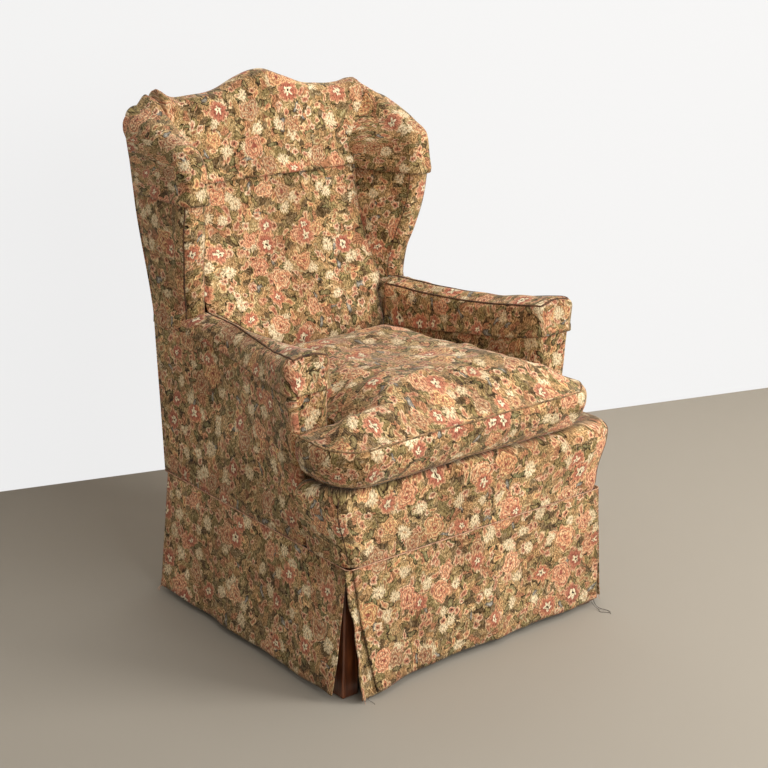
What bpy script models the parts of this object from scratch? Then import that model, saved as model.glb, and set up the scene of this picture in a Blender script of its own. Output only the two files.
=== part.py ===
# Sagging wing armchair under loose tapestry covers.
# Metres, +Z up, +Y towards the back, origin on the floor under the middle of the box around the chair.
import bpy
import bmesh
import math
import numpy as np

# Driving dimensions: heights
SEAM_Z = 0.2645          # skirt seam under the seat border
HEM_Z = 0.014            # lower edge of the skirt
RAIL_TOP_Z = 0.345       # top of the seat rails
RAIL_HIGH = 0.073        # depth of the seat rails
PLATFORM_Z = 0.411       # top of the covered seat platform
CUSHION_HIGH = 0.082     # cushion height at its top piping
CROWN = 0.062            # how far the cushion swells above the piping
CUSHION_SAG = 0.016      # hollow sat into the middle of the cushion
ARM_BACK_Z = 0.601       # arm top where it meets the wing
ARM_LIFT = 0.034         # how much higher the arm top is at its front
ARM_CROWN = 0.006
CREST_Z = 1.0155         # top line of the back between hump and tips
HUMP = 0.043
TIP = 0.011
CAP_HEM_Z = 0.850        # lower edge of the headrest cap

# Driving dimensions: plan
FRONT_Y = -0.369         # front of the skirt seam
BORDER_BULGE = 0.004
BACK_SEAM_Y = 0.262      # outside back at the skirt seam
RAKE = 0.174             # lean of the outside back, metres per metre
SEAM_HALF_FRONT = 0.331
SEAM_HALF_BACK = 0.318
EAR_HALF = 0.358         # widest half width of the platform border
ARM_FRONT_Y = -0.235
ARM_IN_FRONT = 0.268     # half gap between the arms at the front
ARM_IN_BACK = 0.217      # half gap between the arms at the back
ARM_OUT_FRONT = 0.366
ARM_OUT_BACK = 0.290
BACK_HALF_TOP = 0.310
SLAB_HALF = 0.212        # half width of the inside back
SLAB_HALF_TOP = 0.252    # half width of the crest between its tips
BACK_THICK = 0.125       # thickness at the small of the back
BACK_THIN = 0.064        # thickness behind the shoulders
CUSHION_FRONT_Y = -0.3993
CUSHION_EAR = 0.350
CUSHION_CREEP = 0.038       # how far the cushion's right ear has worked inwards
WING_WAIST_Y = 0.203
WING_FRONT_Y = 0.160
WING_CORNER_Z = 0.925
WING_TOP_Z = 1.010
WING_IN_WAIST = 0.240
WING_IN_WIDE = 0.262
WING_OUT_WAIST = 0.289
WING_OUT_WIDE = 0.314

# Thicknesses, section sizes and clearances
FIT = 0.0003             # gap between pieces that touch
LAY = 0.0008             # gap under a curved cover
EASE = 0.004             # gap beside loose upholstery
CLOTH = 0.0025           # tapestry and its lining
PAD = 0.012              # wadding on wings and arms
STRAP = 0.0015
STRAP_WIDE = 0.050
LEG = 0.045
LEG_FOOT = 0.036
RAIL = 0.024
POST_WIDE = 0.030
POST_DEEP = 0.045
BOARD = 0.010
PIPE_R = 0.0032
ROLL = 0.018             # rounding of the arm edges
SEAT_SAG = 0.012
SPAN_MARGIN = 0.019      # from the legs' inner faces to where the webbing starts to sag
WOOD_IN = 0.012          # depth of the wood below the outside back cover
FRAME_DEEP = 0.022       # depth of the rails in the back
POST_SHOULDER = 0.0225   # from the inside back's edge to the post
POST_SPLAY = 0.0175      # from the skirt seam to the post's foot
ROOT_TAPER = 0.011       # how much narrower the back is at the arms than at its top
LOW_RAIL_Z = 0.425
LOW_RAIL_HIGH = 0.045
LONG_STEP = 0.150        # spacing of the straps that run front to back
CROSS_STEP = 0.155       # spacing of the straps that run side to side
FIRST_CROSS = 0.099      # from the front seam to the first of them
FLAP_WIDE = 0.091        # how far the corner flaps reach along the front and back
FLAP_SIDE = 0.099        # how far the front flap reaches along the side
FLAP_SIDE_BACK = 0.072
SKIRT_FLARE = 0.021      # how far the side hems stand out
SWING = 0.024            # forward lean of the loose front-left hem


def smooth(t):
    t = np.clip(t, 0.0, 1.0)
    return t * t * (3.0 - 2.0 * t)


# Start from an empty scene
for old in list(bpy.data.objects):
    bpy.data.objects.remove(old, do_unlink=True)


def paint(name, colour, roughness):
    mat = bpy.data.materials.get(name)
    if mat is None:
        mat = bpy.data.materials.new(name)
        mat.use_nodes = True
        shader = mat.node_tree.nodes["Principled BSDF"]
        shader.inputs["Base Color"].default_value = (*colour, 1.0)
        shader.inputs["Roughness"].default_value = roughness
        shader.inputs["Metallic"].default_value = 0.0
    return mat


def tapestry():
    return ((0.45, 0.28, 0.16), 0.9)


def wood():
    return ((0.12, 0.05, 0.025), 0.35)


def beech():
    return ((0.55, 0.38, 0.22), 0.6)


def wadding():
    return ((0.75, 0.72, 0.66), 0.95)


def finish(name, bm, look, shade):
    bmesh.ops.recalc_face_normals(bm, faces=bm.faces[:])
    mesh = bpy.data.meshes.new(name)
    bm.to_mesh(mesh)
    bm.free()
    for face in mesh.polygons:
        face.use_smooth = shade
    obj = bpy.data.objects.new(name, mesh)
    bpy.context.collection.objects.link(obj)
    mesh.materials.append(paint(name + "_look", *look))
    return obj


# A sheet of cloth or wadding: rows of points, thickened towards the inner point
def sheet(name, rows, thick, look, inner, ladder=0, ring=False, centre=None, other=None, skip=(), even=True):
    rows = np.asarray(rows, float)
    count, across = rows.shape[:2]
    bm = bmesh.new()
    verts = [[bm.verts.new(p) for p in row] for row in rows]
    last = across if ring else across - 1
    for i in range(count - 1):
        for j in range(last):
            if (i, j) in skip:
                continue
            k = (j + 1) % across
            bm.faces.new((verts[i][j], verts[i][k], verts[i + 1][k]))
            bm.faces.new((verts[i][j], verts[i + 1][k], verts[i + 1][j]))
    k, far = 0, ladder - 1
    while far - k > 1:
        bm.faces.new((verts[0][k], verts[0][far], verts[0][k + 1]))
        if far - k > 2:
            bm.faces.new((verts[0][k + 1], verts[0][far], verts[0][far - 1]))
        k, far = k + 1, far - 1
    if centre is not None:
        hub = bm.verts.new(centre)
        for j in range(across):
            bm.faces.new((verts[-1][j], verts[-1][(j + 1) % across], hub))
    if other is not None:
        hub = bm.verts.new(other)
        for j in range(across):
            bm.faces.new((verts[0][(j + 1) % across], verts[0][j], hub))
    bmesh.ops.recalc_face_normals(bm, faces=bm.faces[:])
    outward = 0.0
    for face in bm.faces:
        outward += face.normal.dot(face.calc_center_median() - inner_point(inner, face)) * face.calc_area()
    if outward < 0:
        bmesh.ops.reverse_faces(bm, faces=bm.faces[:])
    mesh = bpy.data.meshes.new(name)
    bm.to_mesh(mesh)
    bm.free()
    for face in mesh.polygons:
        face.use_smooth = True
    obj = bpy.data.objects.new(name, mesh)
    bpy.context.collection.objects.link(obj)
    mesh.materials.append(paint(name + "_look", *look))
    if thick > 0:
        mod = obj.modifiers.new("thickness", "SOLIDIFY")
        mod.thickness = thick
        mod.offset = -1.0
        mod.use_even_offset = even
        mod.use_rim = True
    return obj


def inner_point(inner, face):
    from_face = face.calc_center_median()
    point = from_face.copy()
    for axis in range(3):
        if inner[axis] is not None:
            point[axis] = inner[axis]
    return point


# A solid lofted through closed rings, both ends filled
def loft(name, rings, look, bevel=0.0, shade=False):
    bm = bmesh.new()
    verts = [[bm.verts.new(p) for p in ring] for ring in rings]
    size = len(verts[0])
    for i in range(len(verts) - 1):
        for j in range(size):
            k = (j + 1) % size
            bm.faces.new((verts[i][j], verts[i][k], verts[i + 1][k], verts[i + 1][j]))
    bm.faces.new(verts[0])
    bm.faces.new(verts[-1])
    obj = finish(name, bm, look, shade)
    if bevel > 0:
        mod = obj.modifiers.new("worn edges", "BEVEL")
        mod.width = bevel
        mod.segments = 1
        mod.limit_method = "ANGLE"
        mod.angle_limit = math.radians(40)
    return obj


def square(x, y, z, wide, deep):
    return [(x - wide / 2, y - deep / 2, z), (x + wide / 2, y - deep / 2, z),
            (x + wide / 2, y + deep / 2, z), (x - wide / 2, y + deep / 2, z)]


def upright(x, y, z, wide, high):
    return [(x - wide / 2, y, z - high / 2), (x + wide / 2, y, z - high / 2),
            (x + wide / 2, y, z + high / 2), (x - wide / 2, y, z + high / 2)]


def mirrored(points):
    out = np.array(points, float)
    out[..., 0] *= -1.0
    return out


def both_sides(side, points):
    return mirrored(points) if side < 0 else np.array(points, float)


SIDES = (("left", -1), ("right", 1))


# Shape of the chair as plain functions of position
def back_y(z):
    return BACK_SEAM_Y + RAKE * (np.asarray(z, float) - SEAM_Z)


def inside_y(z):
    z = np.asarray(z, float)
    swell = smooth((ARM_BACK_Z + 0.16 - z) / 0.26)
    return back_y(z) - BACK_THIN - (BACK_THICK - BACK_THIN) * swell


def crest_z(x):
    x = np.abs(np.asarray(x, float))
    hump = HUMP * np.exp(-(x / 0.085) ** 2)
    tip = TIP * np.exp(-((x - SLAB_HALF_TOP) / 0.022) ** 2)
    return CREST_Z + hump + tip


def slab_half(z):
    return SLAB_HALF + (SLAB_HALF_TOP - SLAB_HALF) * smooth((np.asarray(z, float) - 0.86) / 0.13)


def arm_in(y):
    t = np.clip((np.asarray(y, float) - ARM_FRONT_Y) / (WING_WAIST_Y - ARM_FRONT_Y), 0.0, 1.0)
    return ARM_IN_FRONT + (ARM_IN_BACK - ARM_IN_FRONT) * t


def arm_top(y):
    t = np.clip((0.10 - np.asarray(y, float)) / (0.10 - ARM_FRONT_Y), 0.0, 1.0)
    return ARM_BACK_Z + ARM_LIFT * t * t


def seam_half(y):
    t = np.clip((np.asarray(y, float) - FRONT_Y) / (BACK_SEAM_Y - FRONT_Y), 0.0, 1.0)
    return SEAM_HALF_FRONT + (SEAM_HALF_BACK - SEAM_HALF_FRONT) * t


def arm_out(y, z):
    y = np.asarray(y, float)
    t = np.clip((0.08 - y) / (0.08 - ARM_FRONT_Y), 0.0, 1.0)
    top = ARM_OUT_BACK + (ARM_OUT_FRONT - ARM_OUT_BACK) * t ** 1.35
    top = top + 0.008 * np.clip((y - 0.10) / 0.20, 0.0, 1.0)
    up = np.maximum((np.asarray(z, float) - SEAM_Z) / (ARM_BACK_Z - SEAM_Z), 0.0)
    return seam_half(y) + (top - seam_half(y)) * up


# Wood: legs, posts and rails
def front_legs():
    for word, side in SIDES:
        out_top = SEAM_HALF_FRONT - 0.012
        out_foot = out_top + 0.014
        top = square(side * (out_top - LEG / 2), FRONT_Y + 0.022 + LEG / 2, RAIL_TOP_Z, LEG, LEG)
        foot_y = FRONT_Y + 0.011 + LEG_FOOT / 2
        foot = square(side * (out_foot - LEG_FOOT / 2), foot_y, 0.0, LEG_FOOT, LEG_FOOT)
        loft("front_leg_" + word, [foot, top], wood(), 0.0025)


def post_x(z):
    z = np.asarray(z, float)
    lean = np.clip((ARM_BACK_Z - z) / ARM_BACK_Z, 0.0, 1.0)
    head = SLAB_HALF + POST_SHOULDER + POST_WIDE / 2
    foot = SEAM_HALF_BACK - POST_SPLAY - POST_WIDE / 2
    return head + (foot - head) * lean


def post_back(z):
    z = np.asarray(z, float)
    return np.where(z < SEAM_Z, back_y(SEAM_Z) - WOOD_IN - 0.02 * (SEAM_Z - z), back_y(z) - WOOD_IN)


def post_front(z):
    return post_back(z) - POST_DEEP


POST_TOP_Z = CAP_HEM_Z + 0.015


def back_posts():
    for word, side in SIDES:
        rings = []
        for z in (0.0, SEAM_Z, RAIL_TOP_Z, ARM_BACK_Z, POST_TOP_Z):
            narrow = 0.8 if z == 0.0 else 1.0
            rings.append(square(side * float(post_x(z)), float(post_back(z)) - POST_DEEP * narrow / 2, z,
                                POST_WIDE * narrow, POST_DEEP * narrow))
        loft("back_post_" + word, rings, beech(), 0.0015)


def rail_mid_z():
    return RAIL_TOP_Z - RAIL_HIGH / 2


def leg_inner_x():
    return SEAM_HALF_FRONT - 0.012 - LEG


def leg_back_y():
    return FRONT_Y + 0.022 + LEG


def seat_rails():
    end = leg_inner_x() - FIT
    y = FRONT_Y + 0.024 + RAIL / 2
    rings = [[(x, y + a * RAIL / 2, rail_mid_z() + b * RAIL_HIGH / 2)
              for a, b in ((-1, -1), (1, -1), (1, 1), (-1, 1))] for x in (-end, end)]
    loft("front_rail", rings, beech(), 0.0015)
    low = RAIL_TOP_Z - RAIL_HIGH
    end = float(post_x(RAIL_TOP_Z)) - POST_WIDE / 2 - FIT
    y = float(post_front(low)) + 0.018
    rings = [[(x, y + a * RAIL / 2, rail_mid_z() + b * RAIL_HIGH / 2)
              for a, b in ((-1, -1), (1, -1), (1, 1), (-1, 1))] for x in (-end, end)]
    loft("rear_rail", rings, beech(), 0.0015)
    for word, side in SIDES:
        first = upright(side * (leg_inner_x() + LEG / 2), leg_back_y() + FIT, rail_mid_z(), RAIL, RAIL_HIGH)
        last = upright(side * float(post_x(RAIL_TOP_Z)), float(post_front(low)) - FIT, rail_mid_z(),
                       RAIL, RAIL_HIGH)
        loft("side_rail_" + word, [first, last], beech(), 0.0015)


def corner_blocks():
    reach = 0.05
    for word, side in SIDES:
        x = side * (leg_inner_x() - FIT)
        y = FRONT_Y + 0.024 + RAIL + FIT
        rings = [[(x, y, z), (x - side * reach, y, z), (x, y + reach * 0.55, z)]
                 for z in (rail_mid_z() - 0.02, rail_mid_z() + 0.02)]
        loft("corner_block_" + word, rings, beech())


def cavity():
    return CLOTH + LAY + PAD


def arm_frame():
    rail_drop = cavity() + 0.007
    rail_high = 0.038
    stump_y = ARM_FRONT_Y + 0.042
    for word, side in SIDES:
        rings = []
        end = float(post_front(ARM_BACK_Z - rail_drop - rail_high)) - FIT
        for y in [*arm_stations()[:-1] + 0.003, end]:
            mid = (float(arm_in(y)) + float(arm_out(y, ARM_BACK_Z))) / 2
            rings.append(upright(side * mid, y, float(arm_top(y)) - rail_drop - rail_high / 2,
                                 0.017, rail_high))
        loft("arm_rail_" + word, rings, beech(), 0.0015)
        low_mid = leg_inner_x() + LEG / 2 + FIT
        top_mid = (float(arm_in(stump_y)) + float(arm_out(stump_y, ARM_BACK_Z))) / 2
        top_z = float(arm_top(stump_y + 0.02)) - rail_drop - rail_high - FIT
        rings = [square(side * low_mid, stump_y, RAIL_TOP_Z + FIT, 0.026, 0.036),
                 square(side * top_mid, stump_y, top_z, 0.026, 0.036)]
        loft("arm_stump_" + word, rings, beech(), 0.0015)


def wood_front():
    return WOOD_IN + FRAME_DEEP


def crest_rail():
    end = SLAB_HALF_TOP - 0.005
    rings = []
    for x in np.linspace(-end, end, 15):
        top = float(crest_z(x)) - 0.030
        low = POST_TOP_Z + FIT
        ring = []
        for z, back in ((low, WOOD_IN), (low, wood_front()), (top, wood_front()), (top, WOOD_IN)):
            ring.append((x, float(back_y(z)) - back, z))
        rings.append(ring)
    loft("crest_rail", rings, beech(), 0.0015)


def lower_back_rail():
    high = LOW_RAIL_Z + LOW_RAIL_HIGH
    end = float(post_x(high)) - POST_WIDE / 2 - FIT - 0.004
    rings = []
    for x in (-end - 0.0035, end + 0.0035):
        ring = []
        for z, back in ((LOW_RAIL_Z, WOOD_IN), (LOW_RAIL_Z, wood_front()), (high, wood_front()), (high, WOOD_IN)):
            ring.append((x, float(back_y(z)) - back, z))
        rings.append(ring)
    loft("lower_back_rail", rings, beech(), 0.0015)


# Webbing, hessian and bottom cloth
def sag(x, y):
    reach = leg_inner_x() - SPAN_MARGIN
    across = np.clip(1 - (x / reach) ** 2, 0, 1)
    along = np.clip(1 - ((y - CROSS_Y[1] - 0.060) / reach) ** 2, 0, 1)
    return SEAT_SAG * across * along


def strap(name, start, end, phase, along_y, fixed):
    count = 25
    rows = []
    for i in range(count):
        t = i / (count - 1)
        run = start + (end - start) * t
        x, y = (fixed, run) if along_y else (run, fixed)
        weave = 0.5 + 0.9 * phase * math.cos(math.pi * run_phase(run, along_y))
        z = RAIL_TOP_Z + FIT + min(max(weave, 0.0), 1.0) * (STRAP + FIT * 2)
        half = STRAP_WIDE / 2
        ring = []
        for f, up in ((-1, 0), (0, 0), (1, 0), (1, STRAP), (0, STRAP), (-1, STRAP)):
            px, py = (x + f * half, y) if along_y else (x, y + f * half)
            ring.append((px, py, z + up - float(sag(px, py))))
        rows.append(ring)
    loft(name, rows, ((0.62, 0.52, 0.36), 0.9))


LONG_X = (-LONG_STEP, 0.0, LONG_STEP)
CROSS_Y = tuple(FRONT_Y + FIRST_CROSS + CROSS_STEP * k for k in range(3))


# Which side of its neighbour a strap passes on, as half turns along it
def run_phase(run, along_y):
    centres = CROSS_Y if along_y else LONG_X
    step = centres[1] - centres[0]
    return (run - centres[0]) / step


def webbing():
    y0 = FRONT_Y + 0.027
    y1 = float(post_front(RAIL_TOP_Z - RAIL_HIGH)) + 0.026
    for i, x in enumerate(LONG_X):
        strap("seat_web_long_%d" % (i + 1), y0, y1, 1 if i % 2 else -1, True, x)
    for i, y in enumerate(CROSS_Y):
        end = leg_inner_x() + 0.032 - 0.024 * (y - CROSS_Y[0]) / 0.45
        strap("seat_web_cross_%d" % (i + 1), -end, end, -1 if i % 2 else 1, False, y)


def back_hessian():
    rows = []
    half = SLAB_HALF - 0.002
    for z in np.linspace(LOW_RAIL_Z + 0.005, CREST_Z - 0.0455, 7):
        y = float(back_y(z)) - wood_front() - FIT - 0.0002
        rows.append([(x, y, z) for x in np.linspace(-half, half, 5)])
    sheet("back_hessian", rows, 0.0012, ((0.5, 0.4, 0.26), 0.95), (None, -2.0, None))


def dust_cover():
    z = RAIL_TOP_Z - RAIL_HIGH - FIT
    half = leg_inner_x() - 0.004
    y0 = FRONT_Y + 0.027
    y1 = float(post_front(RAIL_TOP_Z - RAIL_HIGH)) + 0.028
    back_half = float(post_x(z)) - POST_WIDE / 2 - 0.004
    rows = [[(f * half, y0, z) for f in (-1, 0, 1)], [(f * back_half, y1, z) for f in (-1, 0, 1)]]
    sheet("dust_cover", rows, 0.0008, ((0.03, 0.03, 0.03), 0.95), (None, None, -2.0))


# Outline of the platform and the cushion, wide in front of the arms
def t_outline(front, ear, tuck, radius, back):
    ear_back = ARM_FRONT_Y - EASE - tuck
    stem_front = float(arm_in(ARM_FRONT_Y)) - EASE - tuck
    stem_back = float(arm_in(back)) - EASE - tuck
    points = []

    def arc(cx, cy, r, a0, a1, steps, flag):
        for i in range(steps + 1):
            a = math.radians(a0 + (a1 - a0) * i / steps)
            points.append((cx + r * math.cos(a), cy + r * math.sin(a), flag))

    for f in (0.0, 0.3, 0.6):
        points.append((f * (ear - radius), front, 1))
    arc(ear - radius, front + radius, radius, -90, 0, 4, 1)
    corner = 0.010
    arc(ear - corner, ear_back - corner, corner, 0, 90, 2, 1)
    points.append((ear - corner - 0.0035, ear_back, 0))
    points.append((stem_front + 0.006, ear_back, 0))
    points.append((stem_front, ear_back + 0.006, 0))
    for f in (0.33, 0.66):
        y = ear_back + (back - ear_back) * f
        points.append((stem_front + (stem_back - stem_front) * f, y, 0))
    arc(stem_back - 0.02, back - 0.02, 0.02, 0, 90, 2, 0)
    points.append((stem_back * 0.5, back, 0))
    points.append((0.0, back, 0))
    left = [(-x, y, f) for x, y, f in points[1:-1]]
    return points + left[::-1]


# A point that sees the whole outline, so that a fan of faces fills it
def hub_y():
    return ARM_FRONT_Y - 0.027


def platform_back():
    return float(inside_y(RAIL_TOP_Z + 0.012)) - EASE


def platform_rings(inset, low_front, low_back):
    rings = []
    top = PLATFORM_Z - inset
    round_r = 0.026
    levels = []
    for part in (0.0, 0.45, 1.0):
        levels.append((None, part))
    for angle in (30, 60, 90):
        levels.append((angle, 1.0))
    for angle, part in levels:
        shift = 0.0
        if angle is not None:
            shift = (round_r - inset) * (1 - math.cos(math.radians(angle)))
        edge = top - (round_r - inset)
        swell = part if angle is None else 1.0
        front = FRONT_Y - BORDER_BULGE * swell + inset + shift
        ear = SEAM_HALF_FRONT + (EAR_HALF - SEAM_HALF_FRONT) * smooth(swell) - inset - shift
        outline = t_outline(front, ear, inset + shift, 0.032 - inset, platform_back() - inset - shift)
        ring = []
        for x, y, flag in outline:
            low = low_front if flag else low_back
            z = low + (edge - low) * part
            if angle is not None:
                z = edge + (round_r - inset) * math.sin(math.radians(angle))
            ring.append((x, y, z))
        rings.append(ring)
    return rings, (0.0, hub_y(), top)


def platform():
    rings, hub = platform_rings(0.0, SEAM_Z + FIT, RAIL_TOP_Z + 0.012)
    sheet("cover_platform", rings, CLOTH, tapestry(), (0.0, -0.1, 0.2), ring=True, centre=hub,
          even=False)
    inset = CLOTH + LAY
    base = RAIL_TOP_Z + 2 * STRAP + 4 * FIT + 0.0006
    rings, hub = platform_rings(inset, base, base)
    floor_hub = (0.0, hub_y(), base)
    sheet("seat_pad", rings, 0.0, wadding(), (0.0, -0.1, 0.38), ring=True, centre=hub, other=floor_hub)
    y0 = FRONT_Y + CLOTH + LAY
    y1 = FRONT_Y + 0.0195
    z0 = SEAM_Z + 0.005
    z1 = base - FIT - 0.0004
    half = SEAM_HALF_FRONT - 0.036
    rings = [[(x, y0, z0 + 0.006), (x, y0 + 0.006, z0), (x, y1, z0), (x, y1, z1), (x, y0, z1)]
             for x in (-half, -half / 3, half / 3, half)]
    loft("border_roll", rings, wadding())


# Cushion: top and bottom panels and boxing, with a zip opening at the back
def cushion_z():
    return PLATFORM_Z + FIT + 0.0004


# Shift of the right ear, which slides along its straight front and back edges
def crept(x, y):
    at_back_edge = y > ARM_FRONT_Y - EASE - 0.014
    if x < 0.0 or y > ARM_FRONT_Y - EASE / 2 or at_back_edge and x < CUSHION_EAR - 0.040:
        return x
    return x - CUSHION_CREEP * float(smooth((x - 0.10) / 0.165))


def cushion_rings(inset):
    base = cushion_z() + inset
    edge = cushion_z() + CUSHION_HIGH - inset
    back = cushion_back()
    side = ((0.0, 0.040), (0.16, 0.014), (0.5, 0.0), (0.82, 0.003), (1.0, 0.022))
    rings = []
    for part, pull in side:
        front = CUSHION_FRONT_Y + inset + pull
        ear = CUSHION_EAR - inset - pull
        outline = t_outline(front, ear, inset + pull * 0.25, 0.075 - inset * 0.5 - pull * 0.3,
                            back - inset - pull * 0.25)
        rings.append([(crept(x, y), y, base + (edge - base) * part) for x, y, f in outline])
    mid_y = hub_y()
    drop_in = inset * 2.3
    crowned = []
    for k in (0.90, 0.74, 0.52, 0.28):
        ring = []
        for x, y, z in rings[-1]:
            px, py = x * k, mid_y + (y - mid_y) * k
            ring.append((px, py, z + crown(px, py) - drop_in))
        crowned.append(ring)
    under = []
    for k in (0.5,):
        under.append([(x * k, mid_y + (y - mid_y) * k, z) for x, y, z in rings[0]])
    hub = (0.0, mid_y, edge + crown(0.0, mid_y) - drop_in)
    foot = (0.0, mid_y, base)
    return under, rings, crowned, hub, foot


def cushion_back():
    return float(inside_y(cushion_z())) - EASE


# How far inside the cushion's outline a point lies
def depth_in(x, y):
    ear = CUSHION_EAR - 0.022 - (CUSHION_CREEP if x > 0.0 else 0.0)
    bar = min(ear - abs(x), ARM_FRONT_Y - EASE - y)
    stem = min(float(arm_in(y)) - EASE - 0.006 - abs(x), cushion_back() - y + 0.02)
    return max(min(max(bar, stem), y - CUSHION_FRONT_Y - 0.022), 0.0)


# Swell of the cushion top above its piping, with the hollow sat into it
def crown(x, y):
    swell = CROWN * float(smooth(depth_in(x, y) / 0.14)) ** 0.7
    hollow = CUSHION_SAG * math.exp(-(x / 0.14) ** 2 - ((y + 0.06) / 0.13) ** 2)
    return max(swell - hollow, 0.0)


def cushion():
    under, rings, crowned, hub, foot = cushion_rings(0.0)
    rows = under + rings + crowned
    across = len(rings[0])
    back_mid = next(j for j, p in enumerate(rings[0]) if p[0] == 0.0 and p[1] > 0)
    gap = [(len(under) + 1, (back_mid + d) % across) for d in (-1, 0)]
    sheet("seat_cushion_cover", rows, CLOTH, tapestry(), (0.0, -0.1, PLATFORM_Z + 0.05),
          ring=True, centre=hub, other=foot, skip=set(gap), even=False)
    under, rings, crowned, hub, foot = cushion_rings(CLOTH + LAY)
    sheet("seat_cushion_filling", under + rings + crowned, 0.0, wadding(), (0.0, -0.1, PLATFORM_Z + 0.05),
          ring=True, centre=hub, other=foot)


def cushion_piping():
    pull = 0.0102
    outline = t_outline(CUSHION_FRONT_Y + pull, CUSHION_EAR - pull, 0.0, 0.075 - pull * 0.3, cushion_back())
    right = [p for p in outline if p[2] and p[0] >= 0][:-2]
    left = [(-x, y, f) for x, y, f in right[1:]]
    right = [(crept(x, y), y, f) for x, y, f in right]
    pipe("cushion_piping_top", left[::-1] + right, cushion_z() + CUSHION_HIGH - 0.0040)


def pipe(name, outline, z):
    curve = bpy.data.curves.new(name, "CURVE")
    curve.dimensions = "3D"
    curve.bevel_depth = PIPE_R
    curve.bevel_resolution = 1
    spline = curve.splines.new("POLY")
    spline.points.add(len(outline) - 1)
    for point, (x, y, f) in zip(spline.points, outline):
        point.co = (x, y, z, 1.0)
    curve.use_fill_caps = True
    obj = bpy.data.objects.new(name, curve)
    bpy.context.collection.objects.link(obj)
    curve.materials.append(paint(name + "_look", (0.35, 0.2, 0.12), 0.9))


# Arms: an upturned trough of wadding and one of cloth, closed at the front
def arm_rows(inset, hem=None, reach=None):
    rows = []
    face_r = ROLL - 0.002 - inset
    caps = ((face_r, 0.0), (face_r * 0.293, face_r * 0.293), (0.0, face_r))
    y0 = ARM_FRONT_Y + inset
    for extra, ahead in caps:
        rows.append(arm_section(inset + extra, y0 + ahead, 0.0, hem, reach))
    for y in arm_stations()[1:]:
        rows.append(arm_section(inset, y, 0.0, hem, reach))
    if reach is None:
        rows.append(arm_section(inset, arm_stations()[-1], 1.0, hem, reach))
    return rows


# One set of stations for the arm's wood, wadding, cover and cap, so that they nest
def arm_stations():
    return np.linspace(ARM_FRONT_Y + 0.020, WING_WAIST_Y - 0.010, 8)


def arm_section(inset, y0, v, hem, reach):
    angles = (0, 45, 90)
    spec = [("in", 0.0), ("in", 0.5)]
    spec += [("arc_in", a) for a in angles]
    spec += [("crown", 0.0)]
    spec += [("arc_out", a) for a in reversed(angles)]
    spec += [("out", "hem")]
    if hem is None:
        spec += [("out", "shelf"), ("out", "seam")]
    r = max(ROLL - inset, 0.001)
    row = []
    for kind, value in spec:
        outer = kind in ("arc_out", "out") and not (kind == "arc_out" and value > 40)
        z_guess = ARM_BACK_Z
        if kind == "out":
            z_guess = out_level(y0, value)
        if kind == "arc_out":
            z_guess = ARM_BACK_Z - inset - r + r * math.sin(math.radians(value))
        if reach is not None:
            y1 = reach
        elif outer:
            y1 = float(back_y(z_guess)) - CLOTH - LAY - 0.5 * max(inset, 0.0)
        else:
            y1 = float(post_front(z_guess if kind != "in" else RAIL_TOP_Z)) - 0.0045
        y = y0 + (y1 - y0) * v
        top = float(arm_top(y)) - inset
        x_in = float(arm_in(y)) + inset
        low_in = RAIL_TOP_Z + 0.012 if hem is None else hem(y, "in")
        if kind == "in":
            z = low_in + (top - r - low_in) * value
            row.append((x_in, y, z))
            continue
        if kind == "out":
            z = out_level(y, value)
            row.append((float(arm_out(y, z)) - inset, y, z))
            continue
        x_out = float(arm_out(y, top - r)) - inset
        if kind == "arc_in":
            a = math.radians(value)
            row.append((x_in + r - r * math.cos(a), y, top - r + r * math.sin(a)))
        elif kind == "arc_out":
            a = math.radians(value)
            row.append((x_out - r + r * math.cos(a), y, top - r + r * math.sin(a)))
        else:
            row.append(((x_in + x_out) / 2, y, top + ARM_CROWN))
    return row


# Levels on the outer side: the cap's hem, a shelf above the seat rail and the skirt seam
def out_level(y, name):
    if name == "hem":
        return cap_hem(y, "out")
    return RAIL_TOP_Z + 0.012 if name == "shelf" else SEAM_Z + FIT


def cap_hem(y, which):
    t = np.clip((y - ARM_FRONT_Y) / (WING_WAIST_Y - ARM_FRONT_Y), 0.0, 1.0)
    start = ARM_BACK_Z - 0.034
    if which == "in":
        return float(start - 0.062 * t ** 0.8)
    return float(start + 0.008 * t - 0.008 * math.sin(math.pi * t))


def arms():
    for word, side in SIDES:
        hint = (side * 0.30, 0.0, 0.42)
        rows = both_sides(side, arm_rows(0.0))
        sheet("cover_arm_" + word, rows, CLOTH, tapestry(), hint, ladder=11)
        rows = both_sides(side, arm_rows(CLOTH + LAY))
        sheet("arm_pad_" + word, rows, PAD, wadding(), hint, ladder=11)
        rows = both_sides(side, arm_rows(-CLOTH - LAY, cap_hem, WING_FRONT_Y + 0.03))
        sheet("arm_cap_" + word, rows, CLOTH, tapestry(), (side * 0.30, 0.0, 0.56), ladder=10)


# Wings: a profile seen from the side, carried round the edge as a trough
def chaikin(points, times):
    points = np.array(points, float)
    for _ in range(times):
        first = points[:-1] * 0.75 + points[1:] * 0.25
        second = points[:-1] * 0.25 + points[1:] * 0.75
        middle = np.empty((len(first) * 2, 2))
        middle[0::2] = first
        middle[1::2] = second
        points = np.vstack([points[:1], middle, points[-1:]])
    return points


def wing_low_z():
    return ARM_BACK_Z + ARM_CROWN + LAY * 3


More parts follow.
